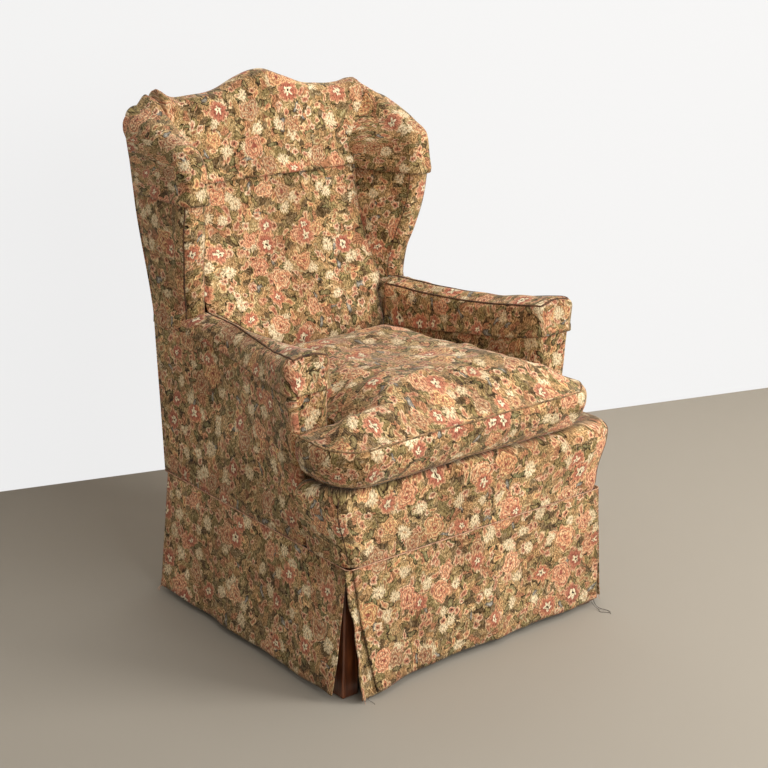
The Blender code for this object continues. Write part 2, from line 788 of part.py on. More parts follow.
def wing_profile():
    low = wing_low_z()
    end_y = float(back_y(WING_TOP_Z)) - CLOTH - LAY - 0.010
    frame = [(WING_WAIST_Y, low), (WING_WAIST_Y, low + 0.05), (WING_FRONT_Y - 0.002, low + 0.19),
             (WING_FRONT_Y - 0.002, WING_CORNER_Z - 0.01), (WING_FRONT_Y + 0.030, WING_CORNER_Z + 0.020),
             (end_y - 0.07, WING_TOP_Z - 0.022), (end_y, WING_TOP_Z)]
    curve = chaikin(frame, 2)
    steps = np.r_[0, np.cumsum(np.hypot(*np.diff(curve, axis=0).T))]
    even = np.linspace(0, steps[-1], 14)
    return np.stack([np.interp(even, steps, curve[:, k]) for k in (0, 1)], 1)


def wing_rows(inset, first=0):
    path = wing_profile()
    tangent = np.gradient(path, axis=0)
    tangent /= np.linalg.norm(tangent, axis=1)[:, None]
    normal = np.stack([tangent[:, 1], -tangent[:, 0]], 1)
    run = np.r_[0, np.cumsum(np.hypot(*np.diff(path, axis=0).T))]
    at_hem = np.interp(CAP_HEM_Z, path[:, 1], run)
    root_z = np.interp(run, [0, at_hem, run[-1]], [path[0, 1], CAP_HEM_Z, WING_TOP_Z - 0.046])
    rows = []
    plain = inset
    for i in range(first, len(path)):
        inset = plain * (1 + 0.5 * float(smooth((root_z[i] - 0.89) / 0.05)))
        r = 0.020 - inset
        edge = path[i] + normal[i] * inset
        if i == 0:
            edge = path[i] + np.array([inset, 0.0])
        n = np.array([1.0, 0.0]) if i == 0 else normal[i]
        wide = float(smooth((path[i, 1] - wing_low_z()) / 0.20))
        x_in = WING_IN_WAIST + (WING_IN_WIDE - WING_IN_WAIST) * wide + inset * 1.25
        x_out = WING_OUT_WAIST + (WING_OUT_WIDE - WING_OUT_WAIST) * wide - inset * 1.1
        to_back = float(smooth((path[i, 0] - 0.22) / 0.16)) * float(path[i, 1] > WING_CORNER_Z)
        x_out += (BACK_HALF_TOP - WING_OUT_WIDE) * to_back
        x_in += (SLAB_HALF_TOP + 0.009 - WING_IN_WIDE) * to_back
        z = root_z[i]
        root_in = float(slab_half(z)) + 0.0045 + 0.0045 * float(smooth((z - 0.86) / 0.08)) + inset * 1.35
        root_out = float(root_half(z)) - inset
        y_in = float(back_y(z)) - 0.048
        y_out = float(back_y(z)) - CLOTH - LAY - 0.001 - 0.5 * max(inset, 0.0)
        row = [(root_in, y_in, z)]
        start = edge + n * r
        row.append(((root_in + x_in) / 2, (y_in + start[0]) / 2, (z + start[1]) / 2))
        for a in (0, 45, 90):
            a = math.radians(a)
            p = edge + n * (r - r * math.sin(a))
            row.append((x_in + r - r * math.cos(a), p[0], p[1]))
        for a in (90, 45, 0):
            a = math.radians(a)
            p = edge + n * (r - r * math.sin(a))
            row.append((x_out - r + r * math.cos(a), p[0], p[1]))
        row.append(((root_out + x_out) / 2, (y_out + start[0]) / 2, (z + start[1]) / 2))
        row.append((root_out, y_out, z))
        rows.append(row)
    return rows


def root_half(z):
    return BACK_HALF_TOP - ROOT_TAPER * (1 - smooth((np.asarray(z, float) - ARM_BACK_Z) / 0.22))


def wings():
    for word, side in SIDES:
        hint = (side * 0.277, 0.29, 0.80)
        rows = both_sides(side, wing_rows(0.0))
        sheet("cover_wing_" + word, rows, CLOTH, tapestry(), hint)
        rows = both_sides(side, wing_rows(CLOTH + LAY)[:-3])
        sheet("wing_pad_" + word, rows, PAD - 0.003, wadding(), hint)
        start = next(i for i, p in enumerate(wing_profile()) if p[1] > CAP_HEM_Z - 0.01)
        rows = both_sides(side, wing_rows(-CLOTH - LAY, start))
        sheet("headrest_cap_wing_" + word, rows, CLOTH, tapestry(), (side * 0.285, 0.30, 0.84))
        wing_board(word, side)


def wing_board(word, side):
    path = wing_rows(cavity() + 0.001)
    rows = []
    for row in path[:-4]:
        row = np.array(row)
        front = (row[4] + row[5]) / 2 + (row[2] + row[7] - row[4] - row[5]) * 0.12
        z = row[0][2] + 0.002
        beside = float(post_x(POST_TOP_Z)) + POST_WIDE / 2 + FIT + BOARD / 2 + 0.0005
        root = np.array([beside, float(back_y(z)) - 0.02, z])
        front[2] += 0.002
        middle = root * 0.5 + front * 0.5
        near_post = float(post_front(z)) - 0.009
        if middle[1] > near_post > front[1] + 0.008 and z < POST_TOP_Z:
            middle[:2] = root[0], near_post
        rows.append([root, middle, front])
    board = sheet("wing_board_" + word, both_sides(side, rows), BOARD, beech(), (side * 2.0, None, None))
    board.modifiers[0].offset = 0.0


# Back: padding, inside cover over the crest, outside cover, headrest cap
def back_columns(out, low, back_low):
    columns = []
    top_start = 0.93
    for z in [low] + [z for z in (0.44, 0.52, 0.60, 0.68, 0.76, 0.84, 0.90) if z > low + 0.02] + [top_start]:
        columns.append(("front", z))
    columns += [("arc_front", a) for a in (0, 45, 90)]
    columns += [("arc_back", a) for a in (90, 45, 0)]
    columns += [("back", back_low)]
    return columns


def back_rows(out, low, back_low, back_drop=None):
    rows = []
    r = 0.024 + out
    for f in np.linspace(-1, 1, 21):
        row = []
        for kind, value in back_columns(out, low, back_low):
            x = f * SLAB_HALF_TOP
            top = float(crest_z(x)) + out
            if kind == "front":
                x = f * float(slab_half(value))
                row.append((x, float(inside_y(value)) - out, value))
            elif kind == "arc_front":
                a = math.radians(value)
                z = top - r + r * math.sin(a)
                row.append((x, float(inside_y(top - r)) - out + r - r * math.cos(a), z))
            elif kind == "arc_back":
                a = math.radians(value)
                z = top - r + r * math.sin(a)
                row.append((x, float(back_y(top - r)) + out - r + r * math.cos(a), z))
            else:
                z = top - r - value if back_drop else value
                if not back_drop:
                    x = f * float(slab_half(z))
                row.append((x, float(back_y(z)) + out, z))
        rows.append(row)
    return rows


def back_parts():
    rows = back_rows(0.0, RAIL_TOP_Z + 0.012, 0.010, back_drop=True)
    sheet("cover_inside_back", rows, CLOTH, tapestry(), (0.0, 0.30, 0.70))
    rows = back_rows(CLOTH + LAY, CAP_HEM_Z, CAP_HEM_Z)
    sheet("headrest_cap_back", rows, CLOTH, tapestry(), (0.0, 0.35, 0.90))
    rows = []
    for f in np.linspace(-1, 1, 25):
        x_top = f * BACK_HALF_TOP
        high = float(crest_z(x_top)) - 0.024 - 0.010 - FIT - 0.0012
        if abs(x_top) > SLAB_HALF_TOP + 0.01:
            high = WING_TOP_Z - 0.044
        row = []
        for z in (SEAM_Z + FIT, 0.36, 0.48, 0.60, 0.72, 0.84, high):
            half = float(root_half(z)) + 0.001
            if z < ARM_BACK_Z:
                half = float(arm_out(back_y(z), z)) + 0.001
            row.append((f * half, float(back_y(z)), z))
        rows.append(row)
    sheet("cover_outside_back", rows, CLOTH, tapestry(), (None, 0.0, None))
    back_pad()


def back_pad():
    inset = CLOTH + LAY
    rings = []
    half = SLAB_HALF - 0.003
    for f in np.linspace(-1, 1, 15):
        ring = []
        levels = (RAIL_TOP_Z + 0.020, 0.44, 0.52, 0.60, 0.68, 0.76, 0.84, 0.90, 0.95)
        for z in levels:
            ring.append((f * half, float(inside_y(z)) + inset, z))
        top = float(crest_z(f * half)) - inset
        ring.append((f * half, float(inside_y(top)) + inset + 0.002, top - 0.024))
        ring.append((f * half, float(inside_y(top)) + inset + 0.009, top - 0.006))
        edge = float(back_y(top - 0.006)) - wood_front() - FIT - 0.0025
        ring.append((f * half, edge, top - 0.006))
        for z in (0.90, 0.70, 0.50, RAIL_TOP_Z + 0.020):
            ring.append((f * half, float(back_y(z)) - wood_front() - 0.0025, z))
        rings.append(ring)
    loft("back_pad", rings, wadding(), shade=True)


# Skirt: four panels with slit corners and a pleat flap behind each slit
def swing(x, z):
    low = np.clip((SEAM_Z - z) / (SEAM_Z - HEM_Z), 0, 1) ** 1.4
    return SWING * low * float(smooth((-0.17 - x) / 0.10))


def drop(z):
    return float(np.clip((SEAM_Z - z) / (SEAM_Z - HEM_Z), 0, 1))


def skirt_front():
    rows = []
    for z in np.linspace(SEAM_Z - FIT, HEM_Z, 6):
        d = drop(z)
        left = -(SEAM_HALF_FRONT - 0.013) + 0.040 * d ** 1.3
        right = SEAM_HALF_FRONT - 0.005 + 0.012 * d
        row = []
        for f in np.linspace(0, 1, 19):
            x = left + (right - left) * f
            wave = 0.0045 * d * (0.5 - 0.5 * math.cos(f * math.tau * 3.0))
            row.append((x, FRONT_Y - wave - swing(x, z), z))
        rows.append(row)
    sheet("skirt_front", rows, CLOTH, tapestry(), (None, 0.0, None))


def skirt_sides():
    for word, side in SIDES:
        rows = []
        for z in np.linspace(SEAM_Z - FIT, HEM_Z, 5):
            d = drop(z)
            row = []
            for f in np.linspace(0, 1, 15):
                y = FRONT_Y + 0.006 + (BACK_SEAM_Y - 0.010 - FRONT_Y - 0.006) * f
                wave = 0.004 * d * (0.5 - 0.5 * math.cos(f * math.tau * 2.5 + 1.0))
                row.append((side * (float(seam_half(y)) + SKIRT_FLARE * d + wave), y, z))
            rows.append(row)
        sheet("skirt_" + word, rows, CLOTH, tapestry(), (0.0, None, None))


def skirt_back():
    rows = []
    for z in np.linspace(SEAM_Z - FIT, HEM_Z, 5):
        d = drop(z)
        half = SEAM_HALF_BACK - 0.006 + 0.012 * d
        row = []
        for f in np.linspace(-1, 1, 13):
            wave = 0.004 * d * (0.5 - 0.5 * math.cos(f * math.tau * 1.5))
            row.append((f * half, BACK_SEAM_Y + 0.010 * d + wave, z))
        rows.append(row)
    sheet("skirt_back", rows, CLOTH, tapestry(), (None, 0.0, None))


def flap_path(front, side_x, reach_x, reach_y, corner, end_x):
    path = [(reach_x, front), ((reach_x + side_x - corner) / 2, front)]
    for a in (-90, -60, -30, 0):
        a = math.radians(a)
        path.append((side_x - corner + corner * math.cos(a), front + corner + corner * math.sin(a)))
    path.append((end_x, reach_y))
    return path


def corner_flaps():
    gap = CLOTH + LAY
    rows = []
    reach_x = SEAM_HALF_FRONT - FLAP_WIDE
    reach_y = FRONT_Y + FLAP_SIDE
    for z in np.linspace(SEAM_Z - 0.002, HEM_Z - 0.004, 7):
        d = drop(z)
        rows.append([(x + 0.010 * d * float(x > reach_x + 0.06), y, z)
                     for x, y in flap_path(FRONT_Y + gap, SEAM_HALF_FRONT - gap - 0.0004, reach_x, reach_y, 0.008,
                                           float(seam_half(reach_y)) - gap - 0.0004)])
    sheet("pleat_flap_front_right", rows, CLOTH, tapestry(), (reach_x, reach_y, None))
    rows = []
    for z in np.linspace(SEAM_Z - 0.002, HEM_Z - 0.008, 9):
        d = drop(z)
        left = -(SEAM_HALF_FRONT - 0.007) + 0.017 * d
        row = []
        for f in np.linspace(0, 1, 9):
            x = left + (-0.20 - left) * f
            curl = 0.006 * d ** 4 * (1 - f) ** 4
            row.append((x, FRONT_Y + gap - 0.85 * swing(x, z) - curl, z))
        rows.append(row)
    sheet("pleat_flap_front_left", rows, CLOTH, tapestry(), (None, 0.0, None))
    for word, side in SIDES:
        rows = []
        for z in np.linspace(SEAM_Z - 0.002, HEM_Z - 0.002, 6):
            d = drop(z)
            half = float(seam_half(BACK_SEAM_Y - 0.01)) - gap - 0.0006
            side_y = BACK_SEAM_Y - FLAP_SIDE_BACK
            path = flap_path(-(BACK_SEAM_Y - gap), half, reach_x, -side_y, 0.008, half)
            rows.append([(side * (x + 0.008 * d * float(x > reach_x + 0.06)),
                          -y + 0.004 * d * float(y < -(BACK_SEAM_Y - 0.017)), z) for x, y in path])
        sheet("pleat_flap_back_" + word, rows, CLOTH, tapestry(), (side * reach_x, side_y, None))


front_legs()
back_posts()
seat_rails()
corner_blocks()
arm_frame()
crest_rail()
lower_back_rail()
webbing()
back_hessian()
dust_cover()
platform()
cushion()
cushion_piping()
arms()
wings()
back_parts()
skirt_front()
skirt_sides()
skirt_back()
corner_flaps()
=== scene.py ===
# Sagging wing armchair under loose tapestry covers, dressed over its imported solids.
# Metres, +Z up, +Y towards the back, origin on the floor under the middle of the chair.
import bpy
import bmesh
import math
import numpy as np
from types import SimpleNamespace
from mathutils import Matrix, Vector


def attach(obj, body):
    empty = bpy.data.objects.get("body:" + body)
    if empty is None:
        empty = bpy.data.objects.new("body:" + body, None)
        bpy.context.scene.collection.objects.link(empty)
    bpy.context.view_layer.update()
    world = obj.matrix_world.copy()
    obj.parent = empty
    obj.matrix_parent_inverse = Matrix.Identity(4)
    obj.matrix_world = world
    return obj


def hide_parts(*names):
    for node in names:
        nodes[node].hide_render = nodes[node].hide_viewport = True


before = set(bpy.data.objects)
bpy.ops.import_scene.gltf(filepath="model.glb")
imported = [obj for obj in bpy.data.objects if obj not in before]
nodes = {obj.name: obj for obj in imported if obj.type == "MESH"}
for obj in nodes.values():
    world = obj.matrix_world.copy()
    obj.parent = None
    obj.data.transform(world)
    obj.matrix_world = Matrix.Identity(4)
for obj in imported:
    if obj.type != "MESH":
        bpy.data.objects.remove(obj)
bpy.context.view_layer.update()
print("frame loaded")

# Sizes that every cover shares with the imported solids, in metres
chair = SimpleNamespace(
    seamZ=0.2645, hemZ=0.014, railTopZ=0.345, platformZ=0.411, cushionHigh=0.082, crown=0.062,
    cushionSag=0.016, armBackZ=0.601, armLift=0.034, armCrown=0.006, crestZ=1.0155, hump=0.043,
    tip=0.011, capHemZ=0.850, frontY=-0.369, backSeamY=0.262, rake=0.174, seamHalfFront=0.331,
    seamHalfBack=0.318, earHalf=0.358, armFrontY=-0.235, armInFront=0.268, armInBack=0.217,
    armOutFront=0.366, armOutBack=0.290, backHalfTop=0.310, slabHalf=0.212, slabHalfTop=0.252,
    backThick=0.125, backThin=0.064, cushionFrontY=-0.3993, cushionEar=0.350, wingWaistY=0.203,
    wingFrontY=0.160, wingCornerZ=0.925, wingTopZ=1.010, wingInWaist=0.240, wingInWide=0.262,
    wingOutWaist=0.289, wingOutWide=0.314, cloth=0.0025, lay=0.0008, ease=0.004, roll=0.018,
    rootHalfLow=0.299, crestR=0.024, crestStart=0.93, cushionR=0.075)
chair.tuckZ = chair.railTopZ + 0.012  # the covers end here, tucked in above the seat rails
chair.startZ = chair.seamZ + 0.0005  # lower edge of the covers, at the skirt seam
allOf = (0, 9999)  # every row or column of a grid


# Mesh helpers
def smooth(t):
    # cubic step from 0 to 1
    t = np.clip(t, 0.0, 1.0)
    return t * t * (3.0 - 2.0 * t)


def bell(d, wide):
    return np.exp(-(d / wide) ** 2)


def runs(points, axis):
    # length walked along one axis of a grid of points
    step = np.linalg.norm(np.diff(points, axis=axis), axis=2)
    start = np.zeros_like(np.take(step, [0], axis=axis))
    return np.cumsum(np.concatenate([start, step], axis=axis), axis=axis)


def normalsOf(points, inner):
    # unit normals of a grid, turned away from the inner point; None in it follows the surface
    normal = np.cross(np.gradient(points, axis=1), np.gradient(points, axis=0))
    normal /= np.maximum(np.linalg.norm(normal, axis=2, keepdims=True), 1e-12)
    away = np.stack([np.zeros(points.shape[:2]) if inner[k] is None else points[..., k] - inner[k]
                     for k in range(3)], 2)
    flip = (normal * away).sum() < 0
    return (-normal if flip else normal), flip


def folds(u, v, creases):
    # soft ridges, each a bell across a straight line in cloth coordinates that fades at its ends
    total = np.zeros(np.broadcast(u, v).shape)
    for u0, v0, u1, v1, wide, high in creases:
        du, dv = u1 - u0, v1 - v0
        size = math.hypot(du, dv)
        along = ((u - u0) * du + (v - v0) * dv) / size ** 2
        across = ((u - u0) * dv - (v - v0) * du) / size
        total += high * bell(across, wide) * smooth(along * 2.2) * smooth((1 - along) * 2.2)
    return total


def lumps(u, v, seed, size, count=14, stretch=1.0):
    # slow unevenness of stuffing and slack: a sum of waves with seeded directions and phases
    rng = np.random.default_rng(seed)
    total = np.zeros(np.broadcast(u, v).shape)
    for _ in range(count):
        angle, phase = rng.uniform(0, math.tau, 2)
        rate = rng.uniform(0.6, 1.6) / size
        total += np.sin(math.tau * rate * (u * math.cos(angle) * stretch + v * math.sin(angle)) + phase)
    return total / math.sqrt(count)


def newObject(name, data):
    obj = bpy.data.objects.new(name, data)
    bpy.context.scene.collection.objects.link(obj)
    return obj


def remade(mesh, change):
    # the mesh edited through a bmesh
    bm = bmesh.new()
    bm.from_mesh(mesh)
    change(bm)
    bm.to_mesh(mesh)
    bm.free()


def outwards(bm):
    bmesh.ops.recalc_face_normals(bm, faces=bm.faces[:])


def putOn(obj, material):
    obj.data.materials.clear()
    obj.data.materials.append(material)
    return obj


def clothPiece(name, points, weave, inner, material, thick=0.0024, patches=(), dirt_and_shade=None, merge=0.0):
    # a grid of points as a mesh with its weave coordinates, thickened towards the inside
    rows, cols = points.shape[:2]
    normal, flip = normalsOf(points, inner)
    index = np.arange(rows * cols).reshape(rows, cols)
    quads = np.stack([index[:-1, :-1], index[:-1, 1:], index[1:, 1:], index[1:, :-1]], 2).reshape(-1, 4)
    area = np.cross(points.reshape(-1, 3)[quads[:, 1]] - points.reshape(-1, 3)[quads[:, 0]],
                    points.reshape(-1, 3)[quads[:, 3]] - points.reshape(-1, 3)[quads[:, 0]])
    if (area * normal.reshape(-1, 3)[quads[:, 0]]).sum() < 0:
        quads = quads[:, ::-1]
    mesh = bpy.data.meshes.new(name)
    mesh.from_pydata(points.reshape(-1, 3).tolist(), [], quads.tolist())
    layer = mesh.uv_layers.new(name="weave")
    flat = weave.reshape(-1, 2)[quads.ravel()]
    for (top, bottom), (first, last), other in patches:
        rowOf, colOf = quads.min(1) // cols, quads.min(1) % cols
        chosen = np.repeat((rowOf >= top) & (rowOf < bottom) & (colOf >= first) & (colOf < last), 4)
        flat = np.where(chosen[:, None], other.reshape(-1, 2)[quads.ravel()], flat)
    layer.data.foreach_set("uv", flat.astype(np.float32).ravel())
    # per-point darkening for the material: real dirt in places, painted shade in others
    dirt_and_shade_layer = mesh.attributes.new("dirt_and_shade", "FLOAT", "POINT")
    dirt_and_shade_layer.data.foreach_set("value", (np.zeros(rows * cols)
                                    if dirt_and_shade is None else dirt_and_shade.ravel()).astype(np.float32))
    mesh.polygons.foreach_set("use_smooth", np.ones(len(mesh.polygons), bool))
    def joined(bm):
        bmesh.ops.remove_doubles(bm, verts=bm.verts[:], dist=merge)
        bmesh.ops.dissolve_degenerate(bm, edges=bm.edges[:], dist=1e-6)

    if merge:
        remade(mesh, joined)
    obj = newObject(name, mesh)
    mod = obj.modifiers.new("cloth thickness", "SOLIDIFY")
    mod.thickness, mod.offset, mod.use_even_offset = thick, -1.0, False
    return putOn(obj, material)


def tube(name, path, radius, material, sides=8, closed=False):
    # a circle carried along a path of points, its ends closed to a point
    path = np.asarray(path, float)
    tangent = np.roll(path, -1, 0) - np.roll(path, 1, 0) if closed else np.gradient(path, axis=0)
    tangent /= np.linalg.norm(tangent, axis=1, keepdims=True)
    up = np.where(np.abs(tangent[:, 2:]) > 0.9, [[1.0, 0.0, 0.0]], [[0.0, 0.0, 1.0]])
    one = np.cross(tangent, up)
    one /= np.linalg.norm(one, axis=1, keepdims=True)
    two = np.cross(tangent, one)
    turn = np.arange(sides) * math.tau / sides
    radius = np.broadcast_to(np.asarray(radius, float), len(path))[:, None, None]
    ring = path[:, None] + radius * (np.cos(turn)[None, :, None] * one[:, None]
                                     + np.sin(turn)[None, :, None] * two[:, None])
    count = len(path)
    index = np.arange(count * sides).reshape(count, sides)
    after = np.roll(index, -1, 1)
    if closed:
        nextRow = np.roll(index, -1, 0)
        quads = np.stack([index, nextRow, np.roll(nextRow, -1, 1), after], 2).reshape(-1, 4).tolist()
        verts = ring.reshape(-1, 3)
    else:
        quads = np.stack([index[:-1], index[1:], after[1:], after[:-1]], 2).reshape(-1, 4).tolist()
        verts = np.vstack([ring.reshape(-1, 3), path[:1], path[-1:]])
        quads += [[count * sides, a, b] for a, b in zip(index[0], after[0])]
        quads += [[count * sides + 1, b, a] for a, b in zip(index[-1], after[-1])]
    mesh = bpy.data.meshes.new(name)
    mesh.from_pydata(verts.tolist(), [], quads)
    mesh.polygons.foreach_set("use_smooth", np.ones(len(mesh.polygons), bool))
    remade(mesh, outwards)
    return putOn(newObject(name, mesh), material)


def declare(obj, covers=()):
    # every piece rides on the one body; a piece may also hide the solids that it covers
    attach(obj, "root")
    if covers:
        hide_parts(*covers)
    return obj


def measured(obj, points):
    # prints the flat area of a grid
    a = points[1:, :-1] - points[:-1, :-1]
    b = points[:-1, 1:] - points[:-1, :-1]
    print("  %s area %.4f" % (obj.name, np.linalg.norm(np.cross(a, b), axis=2).sum()))


# Materials
def hexColour(text):
    # sRGB hex to linear
    parts = [int(text[k:k + 2], 16) / 255.0 for k in (1, 3, 5)]
    return (*[p / 12.92 if p <= 0.04045 else ((p + 0.055) / 1.055) ** 2.4 for p in parts], 1.0)


def add(tree, kind, settings=None, links=None):
    # one node: lower-case keys are its own settings, the rest are sockets by name or number, and the
    # operation of a maths node is the word after its kind
    kind, _, operation = kind.partition(" ")
    node = tree.nodes.new("ShaderNode" + kind)
    if operation:
        node.operation = operation
    for key, value in (settings or {}).items():
        if isinstance(key, str) and key[0].islower():
            setattr(node, key, value)
        else:
            node.inputs[key].default_value = value
    for key, source in (links or {}).items():
        tree.links.new(source if isinstance(source, bpy.types.NodeSocket) else source.outputs[0],
                       node.inputs[key])
    return node


def newMaterial(name):
    material = bpy.data.materials.new(name)
    material.use_nodes = True
    return material, material.node_tree, material.node_tree.nodes["Principled BSDF"]


def ramp(tree, source, stops, constant=False):
    node = add(tree, "ValToRGB", links={0: source})
    node.color_ramp.interpolation = "CONSTANT" if constant else "LINEAR"
    band = node.color_ramp.elements
    while len(band) < len(stops):
        band.new(1.0)
    for element, (place, colour) in zip(band, stops):
        element.position, element.color = place, hexColour(colour)
    return node


# One kind of woven motif, repeated about every `apart` metres and cut by its own petal outline
def motif(tree, place, look):
    cells = add(tree, "TexVoronoi", {"voronoi_dimensions": "2D", "Scale": 1.0 / look["apart"]},
                {"Vector": place})
    away = add(tree, "VectorMath SUBTRACT", links={0: place, 1: cells.outputs["Position"]})
    chance = add(tree, "SeparateColor", links={0: cells.outputs["Color"]})
    spin = add(tree, "Math MULTIPLY", {1: 6.283}, {0: chance.outputs[0]})
    turned = add(tree, "VectorRotate", {"rotation_type": "Z_AXIS"}, {"Vector": away, "Angle": spin})
    squeezed = add(tree, "VectorMath MULTIPLY", {1: (1.0, look["squeeze"], 0.0)}, {0: turned})
    far = add(tree, "VectorMath LENGTH", links={0: squeezed})
    size = add(tree, "MapRange", {"To Min": 1.30 / look["radius"], "To Max": 0.86 / look["radius"]},
               {"Value": chance.outputs[1]})
    reach = add(tree, "Math MULTIPLY", links={0: far.outputs["Value"], 1: size})
    axes = add(tree, "SeparateXYZ", links={0: squeezed})
    turn = add(tree, "Math ARCTAN2", links={0: axes.outputs[1], 1: axes.outputs[0]})
    beat = add(tree, "Math MULTIPLY", {1: look["petals"] / 2.0}, {0: turn})
    wave = add(tree, "Math COSINE", links={0: beat})
    petal = add(tree, "Math ABSOLUTE", links={0: wave})
    rim = add(tree, "Math MULTIPLY_ADD", {1: look["ruffle"], 2: 1.0 - look["ruffle"]}, {0: petal})
    ratio = add(tree, "Math DIVIDE", links={0: reach, 1: rim})
    inside = add(tree, "Math LESS_THAN", {1: 1.0}, {0: ratio})
    wanted = add(tree, "Math LESS_THAN", {1: look["share"]}, {0: chance.outputs[2]})
    mask = add(tree, "Math MULTIPLY", links={0: inside, 1: wanted})
    if look.get("layers"):
        # a full bloom: scalloped rows of petals, each dark at its root and cream at its lip
        deep = add(tree, "Math MULTIPLY", {1: look["layers"]}, {0: ratio})
        row = add(tree, "Math FLOOR", links={0: deep})
        start = add(tree, "Math MULTIPLY", {1: 2.1}, {0: row})
        angle = add(tree, "Math MULTIPLY_ADD", {1: 1.5}, {0: turn, 2: start})
        scallop = add(tree, "Math SINE", links={0: angle})
        lip = add(tree, "Math MULTIPLY_ADD", {1: 0.45}, {0: scallop, 2: deep})
        shade = add(tree, "Math FRACT", links={0: lip})
        petals = ramp(tree, shade, look["rings"])
        core = add(tree, "Math LESS_THAN", {1: 0.16}, {0: ratio})
        cored = add(tree, "Mix", {"data_type": "RGBA", 7: hexColour(look["line"])}, {0: core, 6: petals})
        colour = cored.outputs[2]
    else:
        colour = ramp(tree, ratio, look["rings"])
    if look.get("tints"):  # one tint by chance for each flower
        tint = ramp(tree, chance.outputs[2], look["tints"])
        tinted = add(tree, "Mix", {"data_type": "RGBA", "blend_type": "MULTIPLY", 0: 1.0},
                     {6: colour, 7: tint})
        colour = tinted.outputs[2]
    if look.get("slit"):  # dark slits between the petals
        gap = add(tree, "Math LESS_THAN", {1: look["slit"]}, {0: petal})
        outer = add(tree, "Math GREATER_THAN", {1: 0.40}, {0: ratio})
        line = add(tree, "Math MULTIPLY", links={0: gap, 1: outer})
        slitted = add(tree, "Mix", {"data_type": "RGBA", 7: hexColour(look["line"])}, {0: line, 6: colour})
        colour = slitted.outputs[2]
    if look.get("heart"):  # a ragged pale star with a small dark eye
        points, wide, pale, eye, dark = look["heart"]
        ray = add(tree, "Math MULTIPLY", {1: points / 2.0}, {0: turn})
        rayWave = add(tree, "Math COSINE", links={0: ray})
        rayOut = add(tree, "Math ABSOLUTE", links={0: rayWave})
        star = add(tree, "Math MULTIPLY_ADD", {1: wide * 0.62, 2: wide * 0.38}, {0: rayOut})
        inStar = add(tree, "Math LESS_THAN", links={0: reach, 1: star})
        starred = add(tree, "Mix", {"data_type": "RGBA", 7: hexColour(pale)}, {0: inStar, 6: colour})
        inEye = add(tree, "Math LESS_THAN", {1: eye}, {0: reach})
        eyed = add(tree, "Mix", {"data_type": "RGBA", 7: hexColour(dark)},
                   {0: inEye, 6: starred.outputs[2]})
        colour = eyed.outputs[2]
    return mask, colour


# Jacquard tapestry, cotton and viscose weft over a dark warp: matt, ribbed, crowded with small flowers.
# Flowers and leaves have their real sizes. Threads of 0.7 mm would be too fine to see, so they are drawn
# 1.0 mm wide and 1.3 mm high. The eye reads a faded, matt cloth, its pattern stepped from thread to thread.
flowers = dict(
    leaves=dict(apart=0.028, radius=0.014, petals=2, ruffle=0.62, share=0.72, squeeze=1.7,
                rings=[(0.0, "#D9CFA4"), (0.10, "#B0A674"), (0.45, "#A0955F"), (0.72, "#857A4E"),
                       (0.82, "#46392A"), (1.0, "#4E402D")],
                tints=[(0.0, "#FFF4D0"), (0.30, "#F4E4D8"), (0.60, "#D8DCD8")]),
    petals=dict(apart=0.030, radius=0.0130, petals=2, ruffle=0.50, share=0.60, squeeze=1.45,
                rings=[(0.0, "#8E4F34"), (0.24, "#C27B48"), (0.58, "#DBAA74"), (0.74, "#F0DEBA"),
                       (0.92, "#EAD6AC"), (1.0, "#8A6A48")],
                tints=[(0.0, "#FFF4DC"), (0.22, "#E2C2B8"), (0.40, "#FFE6A8"), (0.56, "#CFCFB8")]),
    buds=dict(apart=0.024, radius=0.0095, petals=5, ruffle=0.30, share=0.46, squeeze=1.2, slit=0.10,
              line="#9A6A45",
              heart=(5, 0.26, "#5A3E2A", 0.0, "#5A3E2A"),
              rings=[(0.0, "#B9683F"), (0.60, "#D08D5E"), (0.72, "#EBD8B4"), (1.0, "#E8D2AA")],
              tints=[(0.0, "#FFFFFF"), (0.2, "#F0D8D0"), (0.46, "#FFECC8")]),
    blueLeaves=dict(apart=0.056, radius=0.013, petals=2, ruffle=0.6, share=0.36, squeeze=1.8,
                    rings=[(0.0, "#C9C6BC"), (0.35, "#9C9B96"), (0.70, "#83827E"), (0.82, "#57504A"),
                           (1.0, "#5C5148")]),
    tufts=dict(apart=0.050, radius=0.0155, petals=13, ruffle=0.40, share=0.56, squeeze=1.1, slit=0.30,
               line="#C9AC80",
               heart=(5, 0.20, "#C0925A", 0.0, "#B98A4A"),
               rings=[(0.0, "#EBDDB8"), (0.62, "#EADAB4"), (1.0, "#D8C296")]),
    peonies=dict(apart=0.082, radius=0.026, petals=5, ruffle=0.24, share=0.60, squeeze=1.14, line="#A4532F",
                 layers=3.2, rings=[(0.0, "#9C5A38"), (0.22, "#CC8550"), (0.60, "#DEAE76"),
                                    (0.80, "#F2E2BE"), (0.93, "#EEDAB0"),
                                    (1.0, "#7E5436")],
                 tints=[(0.0, "#FFF8E8"), (0.2, "#FFDCC8"), (0.36, "#FFF0B8"), (0.5, "#DCD4C8")]),
    asters=dict(apart=0.094, radius=0.0235, petals=9, ruffle=0.26, share=0.56, squeeze=1.08, slit=0.15,
                line="#9A5230",
                heart=(5, 0.44, "#F2E6C4", 0.10, "#4E3828"),
                rings=[(0.0, "#9A4A28"), (0.42, "#B8603A"), (0.78, "#C97C4C"), (0.92, "#DFA878"),
                       (1.0, "#E8C79C")],
                tints=[(0.0, "#FFFFFF"), (0.25, "#FFEBC4"), (0.5, "#E8D0CC")]))


